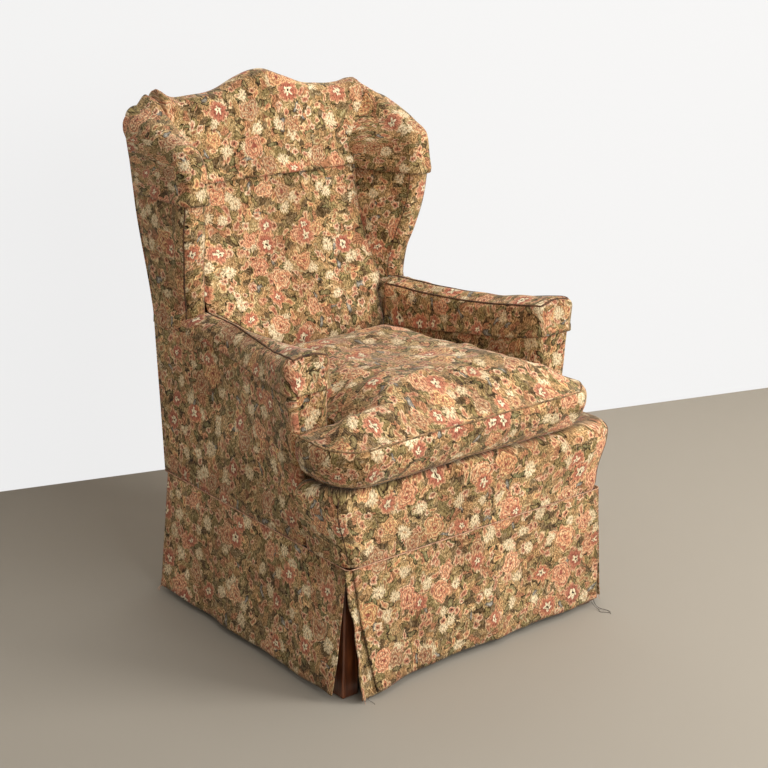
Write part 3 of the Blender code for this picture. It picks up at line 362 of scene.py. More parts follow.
def tapestryCloth(name):
    material, tree, shader = newMaterial(name)
    uv = add(tree, "UVMap", {"uv_map": "weave"})
    # the pattern is drawn on the threads: positions step by one drawn warp and weft thread
    onThread = add(tree, "VectorMath SNAP", {1: (0.0010, 0.0013, 1.0)}, {0: uv})
    wobble = add(tree, "TexNoise", {"noise_dimensions": "2D", "Scale": 42.0, "Detail": 2.5},
                 {"Vector": onThread})
    shift = add(tree, "VectorMath SUBTRACT", {1: (0.5, 0.5, 0.5)}, {0: wobble.outputs["Color"]})
    drift = add(tree, "VectorMath SCALE", {"Scale": 0.019}, {0: shift})
    place = add(tree, "VectorMath ADD", links={0: onThread, 1: drift})
    # ground of curling strokes: the level lines of a slow noise, tinted patch by patch
    hills = add(tree, "TexNoise", {"noise_dimensions": "2D", "Scale": 30.0, "Detail": 1.0,
                                   "Distortion": 0.8}, {"Vector": place})
    steps = add(tree, "Math MULTIPLY", {1: 13.0}, {0: hills.outputs[0]})
    curl = add(tree, "Math FRACT", links={0: steps})
    strokes = ramp(tree, curl, [(0.0, "#4E412C"), (0.10, "#8E7A50"), (0.45, "#B49A66"), (0.74, "#CBB07A"),
                                (0.86, "#EDDDB8"), (1.0, "#BFA678")])
    patch = add(tree, "TexVoronoi", {"voronoi_dimensions": "2D", "Scale": 74.0, "Randomness": 1.0},
                {"Vector": place})
    pick = add(tree, "SeparateColor", links={0: patch.outputs["Color"]})
    hue = ramp(tree, pick.outputs[0], [(0.0, "#E8C896"), (0.14, "#F0A872"), (0.27, "#E2D6A8"),
                                       (0.42, "#B8B888"), (0.56, "#FFDCA0"), (0.70, "#B4AA9C"),
                                       (0.80, "#FFF2D2"), (0.91, "#7C6A50")], True)
    ground = add(tree, "Mix", {"data_type": "RGBA", "blend_type": "MULTIPLY", 0: 0.85},
                 {6: strokes, 7: hue})
    colour = ground.outputs[2]
    for step, key in enumerate(("leaves", "petals", "blueLeaves", "buds", "tufts", "peonies", "asters")):
        moved = add(tree, "VectorMath ADD", {1: (0.37 * step, 0.71 * step, 0.0)}, {0: place})
        mask, drawn = motif(tree, moved, flowers[key])
        layer = add(tree, "Mix", {"data_type": "RGBA"}, {0: mask, 6: colour, 7: drawn})
        colour = layer.outputs[2]
    # weft flecks and short streaks, slow fading, and a dark brown mixed in by a per-point attribute: real
    # dirt in places, painted shade under hems, in corners and under the cushion in others
    streak = add(tree, "Mapping", {"Scale": (1.0, 0.45, 1.0)}, {"Vector": uv})
    fleck = add(tree, "TexNoise", {"noise_dimensions": "2D", "Scale": 380.0, "Detail": 2.0},
                {"Vector": streak})
    tone = ramp(tree, fleck.outputs[0], [(0.32, "#6E6458"), (0.46, "#C9C1B6"), (0.62, "#FFFFFF")])
    flecked = add(tree, "Mix", {"data_type": "RGBA", "blend_type": "MULTIPLY", 0: 0.75},
                  {6: colour, 7: tone})
    slow = add(tree, "TexNoise", {"noise_dimensions": "2D", "Scale": 7.0, "Detail": 3.0}, {"Vector": uv})
    faded = ramp(tree, slow.outputs[0], [(0.3, "#DCD0BC"), (0.7, "#FFFBF0")])
    worn = add(tree, "Mix", {"data_type": "RGBA", "blend_type": "MULTIPLY", 0: 1.0},
               {6: flecked.outputs[2], 7: faded})
    # the dark brown #3B2B1C is partly real dirt and partly painted shade
    dirt_and_shade = add(tree, "Attribute", {"attribute_name": "dirt_and_shade"})
    dirt_and_painted_shade = add(tree, "Mix", {"data_type": "RGBA", 7: hexColour("#3B2B1C")},
                {0: dirt_and_shade.outputs["Fac"], 6: worn.outputs[2]})
    aged = add(tree, "HueSaturation", {"Hue": 0.501, "Saturation": 0.82, "Value": 1.17},
               {"Color": dirt_and_painted_shade.outputs[2]})
    crisp = add(tree, "BrightContrast", {"Bright": 0.02, "Contrast": 0.07}, {"Color": aged.outputs[0]})
    tree.links.new(crisp.outputs[0], shader.inputs["Base Color"])
    rib = add(tree, "TexWave", {"wave_type": "BANDS", "bands_direction": "Y", "Scale": 120.0,
                                "Distortion": 1.2, "Detail": 1.0}, {"Vector": uv})
    both = add(tree, "Math MULTIPLY_ADD", {1: 0.5}, {0: rib.outputs["Fac"], 2: fleck.outputs[0]})
    bump = add(tree, "Bump", {"Strength": 0.4, "Distance": 0.0006}, {"Height": both})
    tree.links.new(bump.outputs[0], shader.inputs["Normal"])
    shader.inputs["Roughness"].default_value = 0.88
    shader.inputs["IOR"].default_value = 1.46
    shader.inputs["Specular IOR Level"].default_value = 0.25
    shader.inputs["Sheen Weight"].default_value = 0.12
    shader.inputs["Sheen Roughness"].default_value = 0.5
    return material


def cordCloth(name, dark, pale):
    # piping: bias-cut tapestry round a cord, so only a mottled dark line is left of the pattern
    material, tree, shader = newMaterial(name)
    spot = add(tree, "TexCoord")
    noise = add(tree, "TexNoise", {"Scale": 140.0, "Detail": 3.0}, {"Vector": spot.outputs["Object"]})
    tone = ramp(tree, noise.outputs[0], [(0.35, dark), (0.62, pale)])
    tree.links.new(tone.outputs[0], shader.inputs["Base Color"])
    bump = add(tree, "Bump", {"Strength": 0.5, "Distance": 0.0006}, {"Height": noise.outputs[0]})
    tree.links.new(bump.outputs[0], shader.inputs["Normal"])
    shader.inputs["Roughness"].default_value = 0.9
    return material


def woodFinish(name, dark, mid, light, rough, coat):
    # planed timber: long grain drawn up the piece, pores darker, edges rubbed
    material, tree, shader = newMaterial(name)
    spot = add(tree, "TexCoord")
    long = add(tree, "Mapping", {"Scale": (60.0, 60.0, 5.0)}, {"Vector": spot.outputs["Object"]})
    grain = add(tree, "TexNoise", {"Scale": 1.0, "Detail": 6.0, "Roughness": 0.65, "Distortion": 0.6},
                {"Vector": long})
    tone = ramp(tree, grain.outputs[0], [(0.30, dark), (0.52, mid), (0.74, light)])
    rubbed = add(tree, "TexNoise", {"Scale": 14.0, "Detail": 4.0}, {"Vector": spot.outputs["Object"]})
    wear = ramp(tree, rubbed.outputs[0], [(0.35, "#FFFFFF"), (0.75, "#C9B8A6")])
    mixed = add(tree, "Mix", {"data_type": "RGBA", "blend_type": "MULTIPLY", 0: 0.7}, {6: tone, 7: wear})
    tree.links.new(mixed.outputs[2], shader.inputs["Base Color"])
    bump = add(tree, "Bump", {"Strength": 0.2, "Distance": 0.0004}, {"Height": grain.outputs[0]})
    tree.links.new(bump.outputs[0], shader.inputs["Normal"])
    shader.inputs["Roughness"].default_value = rough
    shader.inputs["Coat Weight"].default_value = coat
    shader.inputs["Coat Roughness"].default_value = 0.25
    return material


def plainWeave(name, dark, pale, rate):
    # coarse plain weave: crossed threads, every other one over
    material, tree, shader = newMaterial(name)
    spot = add(tree, "TexCoord")
    warp = add(tree, "TexWave", {"bands_direction": "X", "Scale": rate, "Distortion": 0.6},
               {"Vector": spot.outputs["Object"]})
    weft = add(tree, "TexWave", {"bands_direction": "Z", "Scale": rate, "Distortion": 0.6},
               {"Vector": spot.outputs["Object"]})
    fill = add(tree, "TexWave", {"bands_direction": "Y", "Scale": rate, "Distortion": 0.6},
               {"Vector": spot.outputs["Object"]})
    one = add(tree, "Math MAXIMUM", links={0: warp.outputs["Fac"], 1: weft.outputs["Fac"]})
    two = add(tree, "Math MINIMUM", links={0: one, 1: fill.outputs["Fac"]})
    tone = ramp(tree, two.outputs[0], [(0.1, dark), (0.8, pale)])
    tree.links.new(tone.outputs[0], shader.inputs["Base Color"])
    bump = add(tree, "Bump", {"Strength": 0.4, "Distance": 0.0008}, {"Height": two.outputs[0]})
    tree.links.new(bump.outputs[0], shader.inputs["Normal"])
    shader.inputs["Roughness"].default_value = 0.95
    return material


tapestry = tapestryCloth("jacquard tapestry")
pipingDark = cordCloth("dark bias piping", "#2E2018", "#6B4A30")
pipingWorn = cordCloth("worn bias piping", "#4A3826", "#9A7A54")
seamPink = cordCloth("pale pink seam edge", "#9A6A50", "#D9AE90")
threadGrey = cordCloth("loose grey thread", "#3A3634", "#6A6460")
legStain = woodFinish("dark stained polished beech", "#2C1409", "#5C3018", "#94552D", 0.34, 0.5)
beech = woodFinish("bare beech", "#9A7450", "#B98F66", "#CDA67C", 0.6, 0.0)
jute = plainWeave("jute webbing", "#8A744C", "#BCA376", 110.0)
hessian = plainWeave("hessian", "#7A6440", "#AE9366", 140.0)
blackCloth = plainWeave("black bottom cloth", "#0E0E0E", "#242424", 160.0)
print("materials made")

# Finishes of the solids that stay in sight
for key in list(nodes):
    obj = bpy.data.objects.get(key)
    if obj is None or obj.type != "MESH":
        continue
    if key.startswith("front_leg"):
        putOn(obj, legStain)
    elif key.startswith(("back_post", "side_rail", "corner_block", "arm_stump", "arm_rail", "wing_board",
                         "front_rail", "rear_rail", "crest_rail", "lower_back_rail")):
        putOn(obj, beech)
    elif key.startswith("seat_web"):
        putOn(obj, jute)
    elif key == "back_hessian":
        putOn(obj, hessian)
    elif key == "dust_cover":
        putOn(obj, blackCloth)


# Shape of the chair, the same plain functions of position as its solids
def backY(z):
    return chair.backSeamY + chair.rake * (np.asarray(z, float) - chair.seamZ)


def insideY(z):
    swell = smooth((chair.armBackZ + 0.16 - np.asarray(z, float)) / 0.26)
    return backY(z) - chair.backThin - (chair.backThick - chair.backThin) * swell


def crestZ(x):
    x = np.abs(x)
    return chair.crestZ + chair.hump * bell(x, 0.085) + chair.tip * bell(x - chair.slabHalfTop, 0.022)


def slabHalf(z):
    share = smooth((np.asarray(z, float) - 0.86) / 0.13)
    return chair.slabHalf + (chair.slabHalfTop - chair.slabHalf) * share


def armIn(y):
    t = np.clip((np.asarray(y, float) - chair.armFrontY) / (chair.wingWaistY - chair.armFrontY), 0.0, 1.0)
    return chair.armInFront + (chair.armInBack - chair.armInFront) * t


def armTop(y):
    t = np.clip((0.10 - np.asarray(y, float)) / (0.10 - chair.armFrontY), 0.0, 1.0)
    return chair.armBackZ + chair.armLift * t * t


def seamHalf(y):
    t = np.clip((np.asarray(y, float) - chair.frontY) / (chair.backSeamY - chair.frontY), 0.0, 1.0)
    return chair.seamHalfFront + (chair.seamHalfBack - chair.seamHalfFront) * t


def armOut(y, z):
    t = np.clip((0.08 - y) / (0.08 - chair.armFrontY), 0.0, 1.0)
    top = chair.armOutBack + (chair.armOutFront - chair.armOutBack) * t ** 1.35
    top = top + 0.008 * np.clip((y - 0.10) / 0.20, 0, 1)
    up = np.maximum((np.asarray(z, float) - chair.seamZ) / (chair.armBackZ - chair.seamZ), 0.0)
    return seamHalf(y) + (top - seamHalf(y)) * up


def capHem(y, which):
    t = np.clip((y - chair.armFrontY) / (chair.wingWaistY - chair.armFrontY), 0.0, 1.0)
    start = chair.armBackZ - 0.034
    return start - 0.062 * t ** 0.8 if which == "in" else start + 0.008 * t - 0.008 * np.sin(math.pi * t)


def rootHalf(z):
    share = smooth((np.asarray(z, float) - chair.armBackZ) / 0.22)
    return chair.rootHalfLow + (chair.backHalfTop - chair.rootHalfLow) * share


def toSide(side, points):
    return points * np.array([side, 1.0, 1.0])


def hemRoll(d):
    # turned-under hem, 1 mm proud with a stitched groove above it; d is the distance from the edge
    return 0.0010 * (1 - smooth((d - 0.011) / 0.005)) - 0.0007 * bell(d - 0.017, 0.0022)


# Arms: an upside-down U section with rounded shoulders, carried from the front face to the outside back
# pipeIn and pipeOut are the grid columns that the cap's piping runs along, counted from the two hems
armLook = dict(puff=0.0022, seed=11, pipe=0.0021, pipeIn=28, pipeOut=31)
wingLook = dict(seed=31, outerPiping=0.0017, innerSeam=0.0009, left=(3.7, 0.2), right=(4.4, 1.3),
                bandFirst=37, bandLast=38)


def armGrid(inset, hem=None, reach=None):
    r = max(chair.roll - inset, 0.001)
    faceR = chair.roll - 0.002 - inset
    backZ = lambda z: backY(z) - chair.cloth - chair.lay
    ringA = np.linspace(0, math.pi / 2, 7)
    ahead = [(faceR * (1 - math.sin(a)), faceR * (1 - math.cos(a))) for a in ringA]
    stations = np.linspace(chair.armFrontY + 0.020, chair.wingWaistY - 0.010, 76)
    rowsY = [chair.armFrontY + inset + s for _, s in ahead] + list(stations[1:])
    extra = [e for e, _ in ahead] + [0.0] * (len(stations) - 1)
    rowsY, extra = np.array(rowsY), np.array(extra)
    tail = np.linspace(0, 1, 10)[1:] if reach is None else np.zeros(0)
    if reach is not None:
        more = np.linspace(rowsY[-1], reach, 4)[1:] if reach > rowsY[-1] else np.zeros(0)
        rowsY, extra = np.r_[rowsY, more], np.r_[extra, np.zeros(len(more))]
    y = np.r_[rowsY, np.full(len(tail), rowsY[-1])]
    e = np.r_[extra, np.zeros(len(tail))] + inset
    t = np.r_[np.zeros(len(rowsY)), tail]
    up = np.linspace(0, 1, 26)
    arcs = np.linspace(0, math.pi / 2, 7)
    parts = [("in", k) for k in up] + [("arcIn", a) for a in arcs[1:]]
    parts += [("top", k) for k in np.linspace(0, 1, 13)[1:-1]]
    parts += [("arcOut", a) for a in arcs[::-1][:-1]] + [("out", k) for k in up]
    if hem is None:
        parts += [("low", k) for k in np.linspace(0, 1, 12)[1:]]
    cols = []
    for kind, k in parts:
        yEnd = backZ(0.45) if kind in ("out", "low") else backY(chair.armBackZ) - 0.012 - 0.045 - 0.0045
        yy = y + (yEnd - y) * t
        rr = np.maximum(r - (e - inset), 0.001)
        if kind == "low":
            zLow = chair.tuckZ + (chair.startZ - chair.tuckZ) * k
            yy = y + (backZ(zLow) - y) * t
        top = armTop(yy) - e
        xIn = armIn(yy) + e
        low = chair.tuckZ if hem is None else hem(yy, "in")
        lowOut = chair.tuckZ if hem is None else hem(yy, "out")
        xOut = armOut(yy, top - rr) - e
        if kind == "in":
            z, x = low + (top - rr - low) * k, xIn
        elif kind == "arcIn":
            x, z = xIn + rr - rr * math.cos(k), top - rr + rr * math.sin(k)
        elif kind == "top":
            x = xIn + rr + (xOut - rr - xIn - rr) * k
            z = top + chair.armCrown * (1 - (2 * k - 1) ** 2)
        elif kind == "arcOut":
            x, z = xOut - rr + rr * math.cos(k), top - rr + rr * math.sin(k)
        else:
            zTop = top - rr
            z = zTop + (lowOut - zTop) * k if kind == "out" else lowOut + (chair.startZ - lowOut) * k
            if kind == "out":
                yy = y + (backZ(z) - y) * t
            x = armOut(yy, z) - e
        cols.append(np.stack([np.broadcast_to(x, y.shape), np.broadcast_to(yy, y.shape),
                              np.broadcast_to(z, y.shape)], 1))
    grid = np.stack(cols, 1)
    # the front face: the first ring drawn in to an upright line in its middle
    first = grid[0]
    count = len(up)
    lowZ = first[0, 2]
    zTop = first[count - 1, 2]
    axis = first.copy()
    share = np.r_[up, np.ones(len(parts) - 2 * count - (11 if hem is None else 0)), up[::-1]]
    if hem is None:
        share = np.r_[share, np.zeros(11)]
    axis[:, 2] = lowZ + (zTop - 0.012 - lowZ) * share
    axis[:, 0] = (first[0, 0] + armOut(first[0, 1], axis[:, 2]) - (first[0, 0] - armIn(first[0, 1]))) / 2
    if hem is None:
        axis[-11:] = first[-11:]
    pull = np.linspace(1, 0, 9)[:-1, None, None]
    face = first[None] + (axis - first)[None] * pull
    return np.concatenate([face, grid]), len(pull)


def armWeave(grid, faceRows, shift):
    middle = grid.shape[1] // 2
    along = runs(grid[faceRows:], 0)
    across = runs(grid, 1)
    v = across - across[:, middle:middle + 1]
    u = np.zeros(grid.shape[:2])
    u[faceRows:] = along
    body = np.stack([u + shift[0], v + shift[1]], 2)
    front = np.stack([grid[..., 0] + shift[0] + 0.31, grid[..., 2] + shift[1] + 0.17], 2)
    return body, front


def makeArms():
    for word, side, shift in (("left", -1, (1.31, 0.43)), ("right", 1, (2.17, 0.86))):
        grid, faceRows = armGrid(0.0)
        sideShift = wingLook[word]
        normal, _ = normalsOf(grid, (0.31, None, 0.45))
        body, front = armWeave(grid, faceRows, shift)
        wave = lumps(grid[..., 1], grid[..., 2], armLook["seed"] + side, 0.16, stretch=0.6)
        calm = smooth((0.55 - grid[..., 2]) / 0.05) * smooth((grid[..., 2] - chair.seamZ) / 0.03)
        outer = grid[..., 0] > 0.285
        slack = folds(grid[..., 1], grid[..., 2], [(-0.21, 0.54, -0.16, 0.30, 0.012, 0.004),
                                                   (-0.10, 0.55, -0.06, 0.33, 0.016, 0.003),
                                                   (0.05, 0.53, 0.02, 0.30, 0.014, 0.003),
                                                   (0.17, 0.56, 0.16, 0.32, 0.012, 0.003)])
        grid = grid + normal * ((armLook["puff"] * wave + slack * outer) * calm)[..., None] * 0.8
        # darker towards the bottom of the arm cover
        dirt_and_shade = 0.18 * smooth((0.34 - grid[..., 2]) / 0.08)
        points = toSide(side, grid)
        flank = np.stack([grid[..., 1] + 0.4 + sideShift[0], grid[..., 2] + sideShift[1]], 2)
        shoulder = grid.shape[1] - 11 - 26
        obj = clothPiece("cover_arm_cloth_" + word, points, body, (side * 0.30, None, 0.42), tapestry,
                         patches=[((faceRows, allOf[1]), (shoulder, allOf[1]), flank),
                                  ((0, faceRows), allOf, front)], dirt_and_shade=dirt_and_shade, merge=0.00005)
        measured(obj, points)
        declare(obj, ("cover_arm_" + word, "arm_pad_" + word))
        out = -chair.cloth - chair.lay
        grid, faceRows = armGrid(out, capHem, chair.wingFrontY + 0.03)
        body, front = armWeave(grid, faceRows, (shift[0] + 0.5, shift[1] + 0.9))
        normal, _ = normalsOf(grid, (0.31, None, 0.56))
        across = runs(grid, 1)
        toEdge = np.minimum(across, across[:, -1:] - across)
        wave = lumps(grid[..., 1], grid[..., 0] * 2, armLook["seed"] + 5 + side, 0.11)
        lift = 0.0009 * (wave + 1.4) * smooth(toEdge / 0.02) + np.maximum(hemRoll(toEdge), 0)
        lift = lift + 0.003 * smooth((0.02 - toEdge) / 0.02)
        grid = grid + normal * lift[..., None]
        points = toSide(side, grid)
        # painted shadow: a dark line along the cap's hem edge; the cap also darkens towards its front end
        dirt_and_shade = 0.35 * bell(toEdge - 0.001, 0.0025) + 0.10 * smooth((-0.12 - grid[..., 1]) / 0.1)
        obj = clothPiece("arm_cap_cloth_" + word, points, body, (side * 0.31, None, 0.56), tapestry,
                         patches=[((0, faceRows), allOf, front)], dirt_and_shade=dirt_and_shade, merge=0.00005)
        measured(obj, points)
        declare(obj, ("arm_cap_" + word,))
        # piping along the top edges and round the front of the cap
        inner, outerEdge = armLook["pipeIn"], points.shape[1] - armLook["pipeOut"]
        rows = np.arange(faceRows + 4, points.shape[0])
        drift = smooth((np.arange(len(rows)) / len(rows) - 0.15) / 0.85)
        column = outerEdge - drift * (outerEdge - inner) * 0.55
        base = column.astype(int)
        part = (column - base)[:, None]
        outerRun = points[rows, base] * (1 - part) + points[rows, np.minimum(base + 1, outerEdge)] * part
        path = np.vstack([points[rows, inner][::-1], points[faceRows + 3, inner:outerEdge + 1], outerRun])
        for _ in range(2):
            path[1:-1] = (path[:-2] + path[1:-1] * 2 + path[2:]) / 4
        declare(tube("arm_cap_piping_" + word, path, armLook["pipe"], pipingDark))


makeArms()
print("arms dressed")


# Wings: an edge profile seen from the side, with a flattened U section carried round it
def chaikin(points, times):
    # corner cutting: each corner is replaced by points a quarter and three quarters along its sides
    for _ in range(times):
        first = points[:-1] * 0.75 + points[1:] * 0.25
        second = points[:-1] * 0.25 + points[1:] * 0.75
        points = np.vstack([points[:1], np.stack([first, second], 1).reshape(-1, points.shape[1]),
                            points[-1:]])
    return points


def wingLowZ():
    return chair.armBackZ + chair.armCrown + chair.lay * 3


def wingProfile(count):
    low = wingLowZ()
    endY = float(backY(chair.wingTopZ)) - chair.cloth - chair.lay - 0.010
    foreY, cornerZ = chair.wingFrontY - 0.002, chair.wingCornerZ
    corner = np.array([(chair.wingWaistY, low), (chair.wingWaistY, low + 0.05), (foreY, low + 0.19),
                       (foreY, cornerZ - 0.01), (chair.wingFrontY + 0.030, cornerZ + 0.020),
                       (endY - 0.07, chair.wingTopZ - 0.022), (endY, chair.wingTopZ)])
    curve = chaikin(corner, 4)
    steps = np.r_[0, np.cumsum(np.hypot(*np.diff(curve, axis=0).T))]
    even = np.linspace(0, steps[-1], count)
    return np.stack([np.interp(even, steps, curve[:, k]) for k in (0, 1)], 1)


def wingGrid(inset, count=110, fromZ=None):
    path = wingProfile(count)
    tangent = np.gradient(path, axis=0)
    tangent /= np.linalg.norm(tangent, axis=1)[:, None]
    normal = np.stack([tangent[:, 1], -tangent[:, 0]], 1)
    run = np.r_[0, np.cumsum(np.hypot(*np.diff(path, axis=0).T))]
    atHem = np.interp(chair.capHemZ, path[:, 1], run)
    rootZ = np.interp(run, [0, atHem, run[-1]], [path[0, 1], chair.capHemZ, chair.wingTopZ - 0.046])
    inset = inset * (1 + 0.5 * smooth((rootZ - 0.89) / 0.05))
    r = 0.020 - inset
    edge = path + normal * inset[:, None]
    wide = smooth((path[:, 1] - wingLowZ()) / 0.20)
    xIn = chair.wingInWaist + (chair.wingInWide - chair.wingInWaist) * wide + inset * 1.25
    xOut = chair.wingOutWaist + (chair.wingOutWide - chair.wingOutWaist) * wide - inset * 1.1
    toBack = smooth((path[:, 0] - 0.22) / 0.16) * (path[:, 1] > chair.wingCornerZ)
    xOut = xOut + (chair.backHalfTop - chair.wingOutWide) * toBack
    xIn = xIn + (chair.slabHalfTop + 0.009 - chair.wingInWide) * toBack
    rootIn = slabHalf(rootZ) + 0.0045 + 0.0045 * smooth((rootZ - 0.86) / 0.08) + inset * 1.35
    rootOut = rootHalf(rootZ) - inset
    yIn = backY(rootZ) - 0.048
    yOut = backY(rootZ) - chair.cloth - chair.lay - 0.001 - 0.5 * np.maximum(inset, 0)
    startIn = np.stack([xIn, *(edge + normal * r[:, None]).T], 1)
    startOut = np.stack([xOut, *(edge + normal * r[:, None]).T], 1)
    rootInP = np.stack([rootIn, yIn, rootZ], 1)
    rootOutP = np.stack([rootOut, yOut, rootZ], 1)
    cols = [rootInP + (startIn - rootInP) * k for k in np.linspace(0, 1, 36)]
    for a in np.linspace(0, math.pi / 2, 8)[1:]:
        p = edge + normal * (r * (1 - math.sin(a)))[:, None]
        cols.append(np.stack([xIn + r * (1 - math.cos(a)), *p.T], 1))
    for k in np.linspace(0, 1, 5)[1:-1]:
        cols.append(np.stack([xIn + r + (xOut - xIn - 2 * r) * k, *edge.T], 1))
    for a in np.linspace(math.pi / 2, 0, 8)[:-1]:
        p = edge + normal * (r * (1 - math.sin(a)))[:, None]
        cols.append(np.stack([xOut - r * (1 - math.cos(a)), *p.T], 1))
    cols += [startOut + (rootOutP - startOut) * k for k in np.linspace(0, 1, 36)]
    grid = np.stack(cols, 1)
    if fromZ is not None:
        keep = np.argmax(path[:, 1] > fromZ)
        grid = grid[keep:]
    return grid


def twoPads(col):
    # a swell over the inner face and another over the outer one
    inner = np.sin(np.clip(col / 0.42, 0, 1) * math.pi)
    return inner + np.sin(np.clip((1 - col) / 0.42, 0, 1) * math.pi)


def makeWings():
    for word, side in (("left", -1), ("right", 1)):
        shift = wingLook[word]
        grid = wingGrid(0.0)
        # the cover runs on down past the arm's rounded shoulder, so no gap shows under the wing
        low = grid[:1].repeat(9, 0)
        fall = np.linspace(1, 0, 10)[:-1, None]
        col0 = np.arange(grid.shape[1])[None] / (grid.shape[1] - 1)
        deep = 0.006 + 0.030 * smooth((col0 - 0.52) / 0.12)
        low[..., 2] -= fall * deep
        overArm = armOut(low[..., 1], low[..., 2]) + 0.0016
        low[..., 0] = np.where(col0 > 0.5, np.maximum(low[..., 0], overArm * smooth((col0 - 0.52) / 0.08)),
                               low[..., 0])
        grid = np.concatenate([low, grid])
        middle = grid.shape[1] // 2
        across = runs(grid, 1)
        v = across - across[:, middle:middle + 1]
        # inner and outer faces are flat panels, so they read height and depth
        weave = np.stack([grid[..., 1] + np.sign(v) * 0.4 + shift[0], grid[..., 2] + shift[1]], 2)
        normal, _ = normalsOf(grid, (0.277, 0.29, 0.80))
        col = np.arange(grid.shape[1])[None, :] / (grid.shape[1] - 1)
        pad = twoPads(col)
        under = smooth((chair.capHemZ - 0.004 - grid[..., 2]) / 0.02)
        root = smooth(col / 0.03) * smooth((1 - col) / 0.03)
        bulge = (0.003 * pad + 0.0012 * lumps(grid[..., 1], grid[..., 2], wingLook["seed"] + side,
                                              0.10)) * under * root
        bulge = bulge + 0.0022 * folds(grid[..., 1], grid[..., 2],
                                       [(0.19, 0.83, 0.24, 0.64, 0.007, 1.0),
                                        (0.24, 0.80, 0.27, 0.66, 0.008, 0.8)]) * under
        points = toSide(side, grid + normal * bulge[..., None])
        # painted shade along the inner root, in the corner where the wing meets the inside back
        dirt_and_shade = 0.25 * bell(col, 0.05) + 0 * v
        band = np.stack([grid[..., 0] * 1.1 + 2.6 + shift[0], grid[..., 2] + 0.3 + shift[1]], 2)
        obj = clothPiece("cover_wing_cloth_" + word, points, weave, (side * 0.277, 0.29, 0.80), tapestry,
                         patches=[(allOf, (wingLook["bandFirst"], grid.shape[1] - wingLook["bandLast"]),
                                   band)], dirt_and_shade=dirt_and_shade)
        measured(obj, points)
        declare(obj, ("cover_wing_" + word, "wing_pad_" + word))
        for tag, index in (("outer", -wingLook["bandLast"]), ("inner", wingLook["bandFirst"])):
            path = points[:, index]
            path = path[path[:, 2] < chair.capHemZ - 0.006]
            declare(tube("wing_seam_%s_%s" % (tag, word), path, wingLook["outerPiping"]
                         if tag == "outer" else wingLook["innerSeam"], pipingDark))


makeWings()
print("wings dressed")


# Inside back over the crest, outside back, and the headrest hood over both: one line up the inside, round
# the crest in two quarter circles and down the outside, repeated across the width
def backGrid(out, low, backLow, drop=False, cols=121):
    r = chair.crestR + out
    f = np.linspace(-1, 1, cols)[:, None]
    xTop = f * chair.slabHalfTop
    top = crestZ(xTop) + out
    parts = []
    straight = chair.crestStart
    z = np.linspace(low, straight, max(int((straight - low) / 0.005), 8))[None]
    parts.append(np.stack([f * slabHalf(z), insideY(z) - out + 0 * f, z + 0 * f], 2))
    zs = straight + (top - r - straight) * np.linspace(0, 1, 14)[None, 1:-1]
    blend = smooth((zs - straight) / 0.05)
    parts.append(np.stack([f * slabHalf(zs) * (1 - blend) + xTop * blend, insideY(zs) - out, zs], 2))
    a = np.linspace(0, math.pi / 2, 10)[None]
    zA = top - r + r * np.sin(a)
    parts.append(np.stack([xTop + 0 * a, insideY(top - r) - out + r * (1 - np.cos(a)), zA], 2))
    yFront = insideY(top - r) - out + r
    yBack = backY(top - r) + out - r
    k = np.linspace(0, 1, 7)[None, 1:-1]
    parts.append(np.stack([xTop + 0 * k, yFront + (yBack - yFront) * k, top + 0.002 * np.sin(k * math.pi)],
                          2))
    a = np.linspace(math.pi / 2, 0, 10)[None]
    zA = top - r + r * np.sin(a)
    parts.append(np.stack([xTop + 0 * a, yBack + r * np.cos(a), zA], 2))
    lowBack = top - r - backLow if drop else backLow + 0 * top
    k = np.linspace(0, 1, 4 if drop else 30)[None, 1:]
    zB = top - r + (lowBack - (top - r)) * k
    xB = xTop + (0 * k if drop else (f * slabHalf(zB) - xTop) * smooth(k * 1.2))
    parts.append(np.stack([xB, backY(zB) + out, zB], 2))
    return np.concatenate([np.broadcast_to(p, (cols, p.shape[1], 3)) for p in parts], 1), f


backLook = dict(seed=51)


